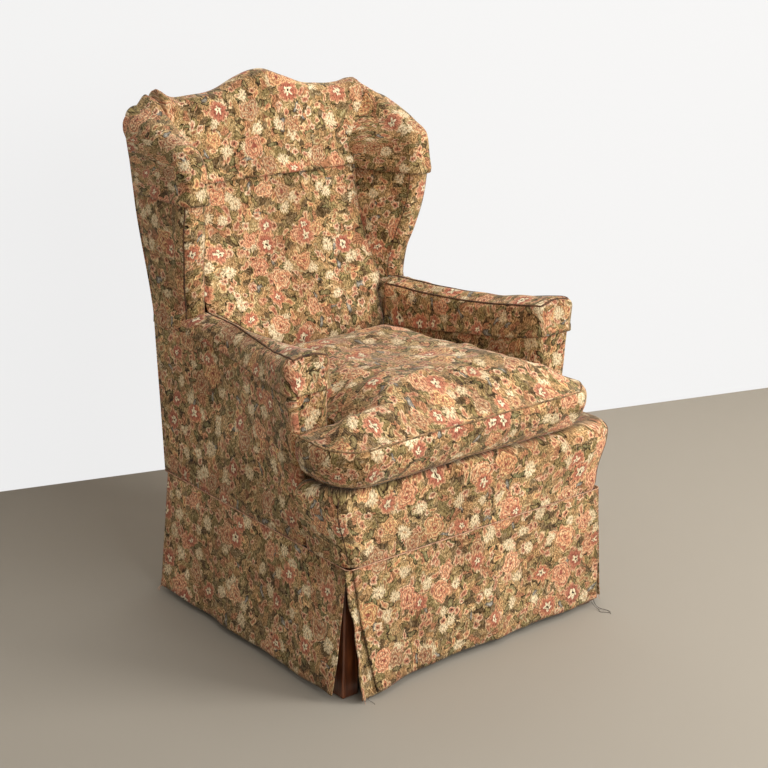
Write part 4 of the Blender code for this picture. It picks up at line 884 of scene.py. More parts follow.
def makeBack():
    grid, f = backGrid(0.0, chair.tuckZ, 0.010, drop=True)
    weave = np.stack([grid[..., 0] + 5.2, runs(grid, 1)[60:61] + 0.33 + 0 * grid[..., 0]], 2)
    x, z = grid[..., 0], grid[..., 2]
    normal, _ = normalsOf(grid, (None, 0.30, 0.70))
    front = smooth((0.93 - z) / 0.03)
    creases = [(-0.20, 0.80, -0.06, 0.72, 0.012, 0.004), (-0.19, 0.70, -0.02, 0.66, 0.010, -0.003),
               (0.05, 0.76, 0.19, 0.80, 0.012, 0.003), (-0.16, 0.60, 0.14, 0.58, 0.014, 0.003),
               (0.17, 0.83, 0.18, 0.56, 0.010, 0.005), (-0.185, 0.83, -0.19, 0.58, 0.010, 0.006),
               (-0.10, 0.84, -0.12, 0.64, 0.016, 0.003), (0.08, 0.84, 0.10, 0.62, 0.018, -0.003)]
    lift = (folds(x, z, creases) + 0.0016 * lumps(x, z, backLook["seed"],
                                                  0.12)) * front * smooth((0.836 - z) / 0.02)
    grid = grid + normal * lift[..., None]
    grid[..., 1] += 0.007 * smooth((np.abs(f) - 0.90) / 0.10) ** 1.5 * front
    # pushed out against the wings between the arms and the hood
    spread = smooth((grid[..., 2] - 0.580) / 0.024) * smooth((0.90 - grid[..., 2]) / 0.06)
    grid[..., 0] += np.sign(f) * 0.017 * smooth((np.abs(f) - 0.72) / 0.28) * spread * (normal[..., 1] < 0)
    # painted shade along both side edges, in the corners against the wings, and low down behind the cushion
    dirt_and_shade = 0.30 * bell(1 - np.abs(f), 0.05) + 0.20 * smooth((0.56 - z) / 0.06)
    dirt_and_shade = dirt_and_shade + 0.10 * bell(z - 0.75, 0.1) * bell(x, 0.12)
    obj = clothPiece("cover_inside_back_cloth", grid, weave, (None, 0.30, 0.70), tapestry, dirt_and_shade=dirt_and_shade)
    measured(obj, grid)
    declare(obj, ("cover_inside_back", "back_pad"))

    # outside back, a flat panel with its upright seams
    f = np.linspace(-1, 1, 121)[:, None]
    xTop = f * chair.backHalfTop
    high = crestZ(xTop) - chair.crestR - 0.0115
    high = np.where(np.abs(xTop) > chair.slabHalfTop + 0.01, chair.wingTopZ - 0.044, high)
    t = np.linspace(0, 1, 140)[None]
    z = chair.startZ + (high - chair.seamZ) * t
    blend = smooth((z - chair.armBackZ + 0.03) / 0.06)
    half = armOut(backY(z), np.minimum(z, chair.armBackZ)) * (1 - blend) + rootHalf(z) * blend + 0.001
    grid = np.stack([f * half, backY(z), z], 2)
    x, z = grid[..., 0], grid[..., 2]
    calm = smooth((0.83 - z) / 0.03) * smooth((z - chair.seamZ) / 0.03) * smooth((1 - np.abs(f)) / 0.06)
    lift = (folds(x, z, [(-0.2, 0.8, -0.16, 0.35, 0.02, 0.003), (0.1, 0.8, 0.14, 0.36, 0.025, 0.003),
                         (-0.05, 0.7, 0.02, 0.3, 0.02, 0.002)]) + 0.0015
            * lumps(x, z, backLook["seed"] + 3, 0.2))
    grid[..., 1] += lift * calm
    grid = pinched(grid)
    weave = np.stack([grid[..., 0] + 6.6, grid[..., 2] + 0.1], 2)
    # darker towards the bottom
    dirt_and_shade = 0.15 * smooth((0.34 - z) / 0.08)
    obj = clothPiece("cover_outside_back_cloth", grid, weave, (None, 0.0, None), tapestry, dirt_and_shade=dirt_and_shade)
    measured(obj, grid)
    declare(obj, ("cover_outside_back",))

    makeHood()


hoodLook = dict(leftPeak=0.009, rightPeak=-0.003, slope=0.014, join=0.016, bridge=0.026)


def pinched(grid, wing=False):
    # a soft peak where crest and wing meet, taller on the left, and a wing top that slopes off behind it
    x, y, z = np.moveaxis(grid, 2, 0)
    far = np.hypot(np.abs(x) - chair.slabHalfTop - 0.002, (y - float(backY(1.0)) + 0.030) * 0.6)
    high = smooth((z - 0.93) / 0.05)
    peak = np.where(x < 0, hoodLook["leftPeak"], hoodLook["rightPeak"]) * np.exp(-(far / 0.020) ** 1.6)
    slope = hoodLook["slope"] * smooth((np.abs(x) - 0.266) / 0.034) * smooth((y - 0.29) / 0.09)
    out = grid.copy()
    out[..., 2] += (peak - slope) * high
    if wing:
        out[..., 2] += hoodLook["join"] * (1 - smooth((np.abs(x) - 0.256)
                                                      / 0.045)) * smooth((y - 0.25) / 0.09) * high
    return out


def makeHood():
    out = chair.cloth + chair.lay
    grid, f = backGrid(out, chair.capHemZ, chair.capHemZ)
    length = runs(grid, 1)
    toEdge = np.minimum(length, length[:, -1:] - length)
    x, z = grid[..., 0], grid[..., 2]
    inFront = length < length[:, -1:] * 0.45
    normal, _ = normalsOf(grid, (None, 0.35, 0.90))
    creases = [(-0.24, 1.03, -0.17, 0.90, 0.010, 0.006), (-0.20, 1.03, -0.11, 0.93, 0.010, 0.004),
               (0.24, 1.03, 0.15, 0.90, 0.010, 0.006), (0.12, 1.02, 0.02, 0.96, 0.009, 0.004),
               (-0.02, 1.05, -0.07, 0.93, 0.010, 0.004), (0.20, 1.02, 0.21, 0.87, 0.010, 0.004),
               (-0.23, 0.93, -0.05, 0.89, 0.014, 0.003), (0.0, 0.99, 0.16, 0.93, 0.014, 0.003)]
    lift = np.maximum(folds(x, z, creases) + 0.0012 * lumps(x, z, backLook["seed"] + 9, 0.08),
                      -0.0003) * inFront * smooth(toEdge / 0.01)
    lift = lift + 0.0009 * (lumps(x, z, backLook["seed"] + 10, 0.1) + 1.6) * ~inFront
    lift = lift + np.maximum(hemRoll(toEdge), 0) + 0.0075 * smooth((0.035 - toEdge) / 0.035) * inFront
    grid = grid + normal * lift[..., None]
    # both ends are drawn in to close the hood at its pinched corner tips
    middle = np.stack([grid[..., 0], (grid[..., 1].min(1, keepdims=True)
                                      + grid[..., 1].max(1, keepdims=True)) / 2 + 0 * x,
                       np.minimum(z, grid[..., 2].max(1, keepdims=True) - 0.012)], 2)
    ends = []
    for row, way in ((0, -1), (-1, 1)):
        pull = np.linspace(0, 1, 7)[1:, None, None]
        shut = grid[row][None] * (1 - pull) + middle[row][None] * pull
        shut[..., 0] += way * 0.004 * np.sin(pull[..., 0] * math.pi / 2)
        ends.append(shut[::-1] if row == 0 else shut)
    grid = np.concatenate([ends[0], grid, ends[1]])
    length = np.concatenate([length[:1].repeat(6, 0), length, length[-1:].repeat(6, 0)])
    toEdge = np.minimum(length, length[:, -1:] - length)
    f = np.r_[-np.ones(6), f[:, 0], np.ones(6)][:, None]
    grid = pinched(grid)
    weave = np.stack([grid[..., 0] + 7.7, length + 0.55], 2)
    # painted shade: a dark line along the crease over the crest, a painted shadow under the hem, and
    # painted shade at the pinched ends
    crease_shade_line = 0.5 * bell(length - length[:, -1:] * 0.47, 0.003)
    dirt_and_shade = 0.35 * bell(toEdge - 0.001, 0.0025) + crease_shade_line * 0.4 + 0.15 * bell(1 - np.abs(f), 0.04)
    obj = clothPiece("headrest_hood_back_cloth", grid, weave, (None, 0.35, 0.90), tapestry, dirt_and_shade=dirt_and_shade)
    measured(obj, grid)
    declare(obj, ("headrest_cap_back",))
    for word, side, shift in (("left", -1, (8.3, 0.6)), ("right", 1, (9.1, 1.5))):
        path = wingProfile(110)
        grid = wingGrid(-out, fromZ=chair.capHemZ - 0.01)
        middle = grid.shape[1] // 2
        across = runs(grid, 1)
        v = across - across[:, middle:middle + 1]
        down = runs(grid, 0)
        weave = np.stack([v + shift[0], down[:, middle:middle + 1] + shift[1] + 0 * v], 2)
        normal, _ = normalsOf(grid, (0.285, 0.30, 0.84))
        col = np.arange(grid.shape[1])[None, :] / (grid.shape[1] - 1)
        pad = twoPads(col)
        toEdge = down
        lift = 0.0012 * (lumps(grid[..., 1], grid[..., 2], 70 + side, 0.07)
                         + 1.5) + np.maximum(hemRoll(toEdge), 0) + 0.002 * pad
        lift = lift + 0.0025 * smooth((0.035 - toEdge) / 0.035)
        lift = lift + folds(grid[..., 1], grid[..., 2], [(0.18, 0.93, 0.30, 0.87, 0.010, 0.003),
                                                         (0.24, 0.96, 0.33, 0.90, 0.009, 0.003)])
        grid = grid + normal * (lift * smooth(col / 0.05) * smooth((1 - col) / 0.05))[..., None]
        # the inner face starts further in, so the cloth bridges the corner between back and wing
        above = 0.35 + 0.65 * smooth((grid[..., 2] - chair.capHemZ) / 0.05)
        grid[..., 0] -= hoodLook["bridge"] * np.clip(1 - col / 0.38, 0,
                                                     1) * above * smooth((1.0 - grid[..., 2]) / 0.05)
        points = pinched(toSide(side, grid), wing=True)
        # painted shadow under the hem, and painted shade along the root where the wing meets the back
        dirt_and_shade = 0.35 * bell(toEdge - 0.001, 0.0025) + 0.2 * bell(col, 0.03)
        # the rear end of the roll is drawn shut against the back
        pull = np.linspace(0, 1, 7)[1:, None, None]
        foot = (points[-1, :1] + points[-1, -1:]) / 2
        shut = points[-1][None] * (1 - pull) + foot[None] * pull
        shut[..., 1] += 0.003 * np.sin(pull[..., 0] * math.pi)
        points = np.concatenate([points, shut])
        weave = np.concatenate([weave, weave[-1:].repeat(6, 0)])
        dirt_and_shade = np.concatenate([dirt_and_shade, dirt_and_shade[-1:].repeat(6, 0)])
        end = np.stack([points[..., 0] * side + 4.4 + shift[0], points[..., 2] + 0.7 + shift[1]], 2)
        obj = clothPiece("headrest_hood_wing_cloth_" + word, points, weave, (side * 0.285, 0.30, 0.84),
                         tapestry, patches=[((len(points) - 7, allOf[1]), allOf, end)], dirt_and_shade=dirt_and_shade)
        measured(obj, points)
        declare(obj, ("headrest_cap_wing_" + word,))


makeBack()
print("back and hood dressed")


# Seat platform and cushion share a T outline, wide in front of the arms; rings of it are stacked and closed
def outlineT(front, ear, tuck, radius, back):
    earBack = chair.armFrontY - chair.ease - tuck
    stemFront = float(armIn(chair.armFrontY)) - chair.ease - tuck
    stemBack = float(armIn(back)) - chair.ease - tuck
    arc = lambda cx, cy, r, a0, a1, n: [(cx + r * math.cos(a), cy + r * math.sin(a))
                                        for a in np.radians(np.linspace(a0, a1, n))]
    line = lambda a, b, n: [(a[0] + (b[0] - a[0]) * t, a[1] + (b[1] - a[1]) * t)
                            for t in np.linspace(0, 1, n)[1:-1]]
    half = [(0.0, front)] + line((0.0, front), (ear - radius, front),
                                 40) + arc(ear - radius, front + radius, radius, -90, 0, 16)
    half += line(half[-1], (ear, earBack - 0.010), 8) + arc(ear - 0.010, earBack - 0.010, 0.010, 0, 90, 6)
    half += line(half[-1], (stemFront + 0.006, earBack), 10)
    half += [(stemFront + 0.006, earBack), (stemFront + 0.002, earBack + 0.002),
             (stemFront, earBack + 0.006)]
    half += line(half[-1], (stemBack, back - 0.02), 50) + arc(stemBack - 0.02, back - 0.02, 0.02, 0, 90, 7)
    half += line(half[-1], (0.0, back), 24) + [(0.0, back)]
    right = np.array(half)
    left = right[::-1][1:-1] * [-1, 1]
    full = np.vstack([right, left])
    return np.roll(full, -(len(right) - 1), 0), len(right) - 1


def ringWeave(ring):
    step = np.linalg.norm(np.roll(ring, -1, 0) - ring, axis=1)
    return np.r_[0, np.cumsum(step)[:-1]]


hubY = chair.armFrontY - 0.027
platformLook = dict(round=0.026, bulge=0.004)


def makePlatform():
    r = platformLook["round"]
    backAt = float(insideY(chair.tuckZ)) - chair.ease
    levels = [(None, p) for p in np.linspace(0, 1, 30)] + [(a, 1.0) for a in np.linspace(0, 90, 9)[1:]]
    rings = []
    for angle, part in levels:
        swell = part if angle is None else 1.0
        shift = 0.0 if angle is None else r * (1 - math.cos(math.radians(angle)))
        edge = chair.platformZ - r
        front = chair.frontY - platformLook["bulge"] * swell + shift
        ear = chair.seamHalfFront + (chair.earHalf - chair.seamHalfFront) * float(smooth(swell)) - shift
        flat, _ = outlineT(front, ear, shift, 0.032, backAt - shift)
        low = np.where(flat[:, 1] < chair.armFrontY - chair.ease - shift - 0.0001, chair.startZ,
                       chair.tuckZ)
        rise = r * math.sin(math.radians(angle or 0.0))
        z = low + (edge - low) * part if angle is None else np.full(len(flat), edge + rise)
        rings.append(np.column_stack([flat, z]))
    top = rings[-1]
    for k in (0.97, 0.9, 0.8, 0.65, 0.45, 0.25, 0.08):
        rings.append(np.column_stack([top[:, 0] * k, hubY + (top[:, 1] - hubY) * k, top[:, 2]]))
    grid = np.stack(rings)
    grid = np.concatenate([grid, grid[:, :1]], 1)
    around = runs(grid[:30], 1)[0][None]
    z = grid[..., 2]
    x, y = grid[..., 0], grid[..., 1]
    normal, _ = normalsOf(grid, (0.0, -0.1, 0.2))
    front = (y < chair.armFrontY - 0.01) * smooth((z - chair.seamZ)
                                                  / 0.02) * smooth((chair.platformZ - 0.002 - z) / 0.01)
    creases = [(-0.30, 0.40, -0.22, 0.30, 0.010, 0.004), (-0.2, 0.39, -0.05, 0.33, 0.014, 0.003),
               (0.05, 0.38, 0.2, 0.31, 0.012, 0.003), (0.33, 0.40, 0.24, 0.29, 0.012, 0.005),
               (0.28, 0.39, 0.16, 0.30, 0.012, 0.003), (-0.33, 0.36, -0.31, 0.28, 0.008, 0.003)]
    lift = folds(x, z, creases) * (y < chair.frontY + 0.05) + 0.0014 * lumps(around, z, 77, 0.1)
    lift = np.clip(lift, -0.003, 0.0045) * front
    grid = grid + normal * lift[..., None]
    side = np.stack([around + 0 * z + 10.2, np.broadcast_to(runs(grid, 0)[:, :1] * 0, z.shape) + z + 0.4],
                    2)
    flatTop = np.stack([x + 11.3, y + 0.9], 2)
    # darker along the bottom of the border above the skirt seam, and painted shade over the top, under the
    # cushion
    dirt_and_shade = 0.25 * smooth((chair.seamZ + 0.012 - z) / 0.01) * front + 0.5 * smooth((z - 0.405) / 0.006)
    obj = clothPiece("cover_platform_cloth", grid, side, (0.0, -0.1, 0.2), tapestry,
                     patches=[((37, 99), allOf, flatTop)], dirt_and_shade=dirt_and_shade, merge=0.00005)
    measured(obj, grid)
    declare(obj, ("cover_platform", "seat_pad", "border_roll"))
    # upright seams at the two front corners of the border
    for word, side in (("left", -1), ("right", 1)):
        column = np.argmin(np.hypot(grid[20, :, 0] - side * (chair.earHalf - 0.010),
                                    grid[20, :, 1] - (chair.frontY + 0.006)))
        declare(tube("border_corner_seam_" + word, grid[2:34, column] + [side * 0.0002, -0.0002, 0], 0.0011,
                     pipingDark))


cushionLook = dict(voxel=0.006, pressure=5.0, cap=0.026, keep=0.35, shrink=0.003, fill=0.45, pipe=0.0018,
                   creep=0.048, creepLeft=0.018, rise=0.006)


def crept(x, y, ear):
    # the cushion has worked over to the left, its ears sliding along their straight front and back edges
    stem = float(armIn(chair.armFrontY)) - chair.ease + 0.006
    atBack = y > chair.armFrontY - chair.ease - 0.020
    far = np.abs(x)
    share = np.where(atBack, np.clip((far - stem) / (ear - 0.010 - stem), 0, 1),
                     smooth((far - 0.10) / 0.165))
    move = np.where(x < 0, cushionLook["creepLeft"], cushionLook["creep"]) * share
    return np.where(y > chair.armFrontY - chair.ease / 2, x, x - move)


def depthIn(x, y):
    backAt = float(insideY(chair.platformZ + 0.0007)) - chair.ease
    ear = chair.cushionEar - 0.022 + np.where(x > 0, -cushionLook["creep"], cushionLook["creepLeft"])
    bar = np.minimum(ear - np.abs(x), chair.armFrontY - chair.ease - y)
    stem = np.minimum(armIn(y) - chair.ease - 0.006 - np.abs(x), backAt - y + 0.02)
    return np.maximum(np.minimum(np.maximum(bar, stem), y - chair.cushionFrontY - 0.022), 0.0)


def crownAt(x, y):
    swell = chair.crown * smooth(depthIn(x, y) / 0.14) ** 0.7
    return np.maximum(swell - chair.cushionSag * np.exp(-(x / 0.14) ** 2 - ((y + 0.06) / 0.13) ** 2), 0.0)


def cushionRings(inset):
    base = chair.platformZ + 0.0007 + inset
    edge = chair.platformZ + 0.0007 + chair.cushionHigh + cushionLook["rise"] - inset
    backAt = float(insideY(chair.platformZ + 0.0007)) - chair.ease
    parts = np.linspace(0, 1, 15)
    pulls = np.interp(parts, (0, 0.16, 0.5, 0.84, 1.0), (0.030, 0.010, 0.0, -0.001, 0.011))
    rings = []
    for part, pull in zip(parts, pulls):
        flat, mid = outlineT(chair.cushionFrontY + inset + pull, chair.cushionEar - inset - pull,
                             inset + pull * 0.25, chair.cushionR - inset * 0.5 - pull * 0.3,
                             backAt - inset - pull * 0.25)
        flat = np.column_stack([crept(flat[:, 0], flat[:, 1], chair.cushionEar - inset - pull), flat[:, 1]])
        rings.append(np.column_stack([flat, np.full(len(flat), base + (edge - base) * part)]))
    top, bottom = rings[-1], rings[0]
    for k in (0.97, 0.93, 0.88, 0.8, 0.7, 0.58, 0.45, 0.3, 0.15, 0.04):
        x, y = top[:, 0] * k, hubY + (top[:, 1] - hubY) * k
        rings.append(np.column_stack([x, y, edge + crownAt(x, y) - inset * 1.4]))
    under = [np.column_stack([bottom[:, 0] * k, hubY + (bottom[:, 1] - hubY) * k, bottom[:, 2]])
             for k in (0.04, 0.3, 0.6, 0.85)]
    return np.stack(under + rings), len(under), len(under) + len(parts) - 1


def makeCushion():
    grid, first, last = cushionRings(cushionLook["shrink"])
    rows, cols = grid.shape[:2]
    index = np.arange(rows * cols).reshape(rows, cols)
    after = np.roll(index, -1, 1)
    faces = np.stack([index[:-1], after[:-1], after[1:], index[1:]], 2).reshape(-1, 4).tolist()
    verts = np.vstack([grid.reshape(-1, 3), grid[0].mean(0), grid[-1].mean(0)])
    faces += [[rows * cols, b, a] for a, b in zip(index[0], after[0])]
    faces += [[rows * cols + 1, a, b] for a, b in zip(index[-1], after[-1])]
    mesh = bpy.data.meshes.new("seat_cushion_cloth")
    mesh.from_pydata(verts.tolist(), [], faces)
    remade(mesh, outwards)
    obj = newObject("seat_cushion_cloth", mesh)
    bpy.context.view_layer.objects.active = obj
    remesh = obj.modifiers.new("remesh", "REMESH")
    remesh.mode, remesh.voxel_size = "VOXEL", cushionLook["voxel"]
    settle(obj)
    before = coordsOf(obj)
    cloth = obj.modifiers.new("swell", "CLOTH")
    cloth.settings.quality = 5
    cloth.settings.use_pressure = True
    cloth.settings.uniform_pressure_force = cushionLook["pressure"]
    cloth.settings.effector_weights.gravity = 0.0
    cloth.settings.tension_stiffness = 12.0
    cloth.settings.bending_stiffness = 0.4
    for step in range(1, 21):
        bpy.context.scene.frame_set(step)
    settle(obj)
    bpy.context.scene.frame_set(1)
    swollen = coordsOf(obj)
    move = swollen - before
    size = np.linalg.norm(move, axis=1, keepdims=True)
    move = move * np.minimum(1.0, cushionLook["cap"] / np.maximum(size, 1e-9)) * cushionLook["keep"]
    after = before + move
    sub = obj.modifiers.new("finer", "SUBSURF")
    sub.levels = sub.render_levels = 1
    obj.data.vertices.foreach_set("co", after.astype(np.float32).ravel())
    obj.data.update()
    settle(obj)
    # slack creases, then the cushion is kept to the space between its neighbours
    p = coordsOf(obj)
    normal = normalVectors(obj)
    x, y, z = p.T
    top = smooth((z - chair.platformZ - 0.06) / 0.04)
    creases = [(-0.26, -0.30, 0.02, -0.24, 0.014, 0.006), (-0.20, -0.20, 0.10, -0.16, 0.012, -0.005),
               (-0.30, -0.36, -0.12, -0.30, 0.012, 0.005), (0.00, -0.32, 0.26, -0.28, 0.016, 0.005),
               (0.08, -0.18, 0.25, -0.12, 0.012, 0.004), (-0.22, -0.05, 0.00, 0.02, 0.012, 0.004),
               (-0.18, 0.08, 0.16, 0.05, 0.014, -0.004), (0.12, 0.12, 0.22, -0.06, 0.012, 0.004),
               (-0.02, -0.38, -0.03, -0.26, 0.012, 0.004), (0.22, -0.38, 0.20, -0.26, 0.012, 0.004),
               (-0.24, 0.12, -0.15, -0.10, 0.010, 0.004)]
    lift = folds(x, y, creases) * top + 0.0016 * lumps(x, y, 91, 0.07)
    frontFolds = folds(x, z, [(-0.24, 0.42, -0.16, 0.49, 0.012, 0.005),
                              (0.0, 0.42, 0.05, 0.49, 0.012, 0.004), (0.16, 0.42, 0.2, 0.5, 0.012, 0.005)])
    lift = lift + frontFolds * (1 - top) * (y < -0.3)
    p = p + normal * (lift * smooth((z - chair.platformZ - 0.006) / 0.02))[:, None]
    p[:, 2] = np.maximum(p[:, 2], chair.platformZ + 0.0012)
    inward = np.where(p[:, 1] > chair.armFrontY - 0.006, armIn(p[:, 1]) - 0.002, 0.374)
    p[:, 0] = np.clip(p[:, 0], -inward, inward)
    obj.data.vertices.foreach_set("co", p.astype(np.float32).ravel())
    obj.data.update()
    weaveCushion(obj)
    obj.data.polygons.foreach_set("use_smooth", np.ones(len(obj.data.polygons), bool))
    putOn(obj, tapestry)
    declare(obj, ("seat_cushion_cover", "seat_cushion_filling"))
    # piping laid on the top edge, snapped to the finished surface
    rings, first, last = cushionRings(0.0)
    for tag, ringIndex, radius in (("top", last, cushionLook["pipe"]), ("bottom", first + 1, 0.0016)):
        ring = rings[ringIndex]
        p = coordsOf(obj)
        gap = ((ring[:, None, :] - p[None, ::3, :]) ** 2).sum(2)
        nearest = np.argmin(gap, 1)
        path = p[::3][nearest]
        path = (path + np.roll(path, 1, 0) + np.roll(path, -1, 0) + np.roll(path, 2, 0)
                + np.roll(path, -2, 0)) / 5
        outward = path - [0, hubY, 0]
        outward[:, 2] = 0
        outward /= np.linalg.norm(outward, axis=1, keepdims=True)
        path = path + outward * radius * 0.4
        keep = np.linalg.norm(np.roll(path, -1, 0) - path, axis=1) > 0.0008
        pipe = tube("cushion_piping_%s_cloth" % tag, path[keep], radius, pipingWorn, closed=True)
        declare(pipe, ("cushion_piping_top",) if tag == "top" else ())


def coordsOf(obj):
    data = np.empty(len(obj.data.vertices) * 3, np.float32)
    obj.data.vertices.foreach_get("co", data)
    return data.reshape(-1, 3).astype(float)


def normalVectors(obj):
    data = np.empty(len(obj.data.vertices) * 3, np.float32)
    obj.data.vertices.foreach_get("normal", data)
    return data.reshape(-1, 3).astype(float)


def settle(obj):
    # the modifiers' result becomes the mesh itself
    graph = bpy.context.evaluated_depsgraph_get()
    mesh = bpy.data.meshes.new_from_object(obj.evaluated_get(graph))
    obj.modifiers.clear()
    obj.data = mesh


def weaveCushion(obj):
    # top and bottom read the plan, the boxing reads the way round and the height
    mesh = obj.data
    p = coordsOf(obj)
    outline, _ = outlineT(chair.cushionFrontY, chair.cushionEar, 0.0, chair.cushionR,
                          float(insideY(chair.platformZ)) - chair.ease)
    way = ringWeave(outline)
    low = np.empty(len(p), int)
    for start in range(0, len(p), 20000):
        part = p[start:start + 20000, None, :2] - outline[None]
        low[start:start + 20000] = np.argmin((part ** 2).sum(2), 1)
    near = outline[low]
    ahead = np.roll(outline, -1, 0)[low] - near
    along = ((p[:, :2] - near) * ahead).sum(1) / np.maximum(np.linalg.norm(ahead, axis=1), 1e-9)
    round_ = np.stack([way[low] + along + 12.1, p[:, 2] * 1.15 + 0.7], 1)
    plan = np.stack([p[:, 0] + 14.4, p[:, 1] + 0.35], 1)
    normal = np.empty(len(mesh.polygons) * 3, np.float32)
    mesh.polygons.foreach_get("normal", normal)
    normal = normal.reshape(-1, 3)
    centre = np.empty(len(mesh.polygons) * 3, np.float32)
    mesh.polygons.foreach_get("center", centre)
    high = centre.reshape(-1, 3)[:, 2]
    boxing = (high < chair.platformZ + chair.cushionHigh + 0.002) & (high > chair.platformZ + 0.004)
    boxing = boxing & (np.abs(normal[:, 2]) < 0.92)
    total = np.empty(len(mesh.polygons), np.int32)
    mesh.polygons.foreach_get("loop_total", total)
    owner = np.repeat(boxing, total)
    corner = np.empty(len(mesh.loops), np.int32)
    mesh.loops.foreach_get("vertex_index", corner)
    uv = np.where(owner[:, None], round_[corner], plan[corner])
    for layer in list(mesh.uv_layers):
        mesh.uv_layers.remove(layer)
    mesh.uv_layers.new(name="weave").data.foreach_set("uv", uv.astype(np.float32).ravel())
    dirt_and_shade = 0.14 * bell(p[:, 0], 0.15) * bell(p[:, 1] + 0.06, 0.15)
    # painted shade round the bottom edge, where the cushion sits on the platform
    dirt_and_shade = dirt_and_shade + 0.35 * smooth((chair.platformZ + 0.012 - p[:, 2]) / 0.01)
    mesh.attributes.new("dirt_and_shade", "FLOAT", "POINT").data.foreach_set("value", dirt_and_shade.astype(np.float32))


makePlatform()
makeCushion()
print("seat dressed")


# Skirt: four panels as grids of width and drop, with slit corners and flaps behind the slits
def swing(x, z):
    low = np.clip((chair.seamZ - z) / (chair.seamZ - chair.hemZ), 0, 1) ** 1.4
    return 0.024 * low * smooth((-0.17 - x) / 0.10)


def dropAt(z):
    return np.clip((chair.seamZ - z) / (chair.seamZ - chair.hemZ), 0, 1)


def skirtPanel(name, grid, weave, inner, covers):
    down = runs(grid, 0)
    across = runs(grid, 1)
    toHem = down[-1:] - down
    toSideEdge = np.minimum(across, across[:, -1:] - across)
    normal, _ = normalsOf(grid, inner)
    lift = hemRoll(toHem) + hemRoll(toSideEdge) * 0.6
    grid = grid + normal * (lift * smooth(down / 0.01))[..., None]
    # darker towards the hem; painted shade in thin lines along the hem, the side edges and the top seam
    dirt_and_shade = 0.22 * smooth((0.05 - toHem) / 0.05) + 0.3 * bell(toHem, 0.003)
    dirt_and_shade = dirt_and_shade + 0.25 * bell(toSideEdge, 0.003) + 0.2 * bell(down, 0.003)
    obj = clothPiece(name, grid, weave, inner, tapestry, dirt_and_shade=dirt_and_shade)
    measured(obj, grid)
    return declare(obj, covers)


def ripple(f, times, start=0.0):
    return 0.5 - 0.5 * np.cos(f * math.tau * times + start)


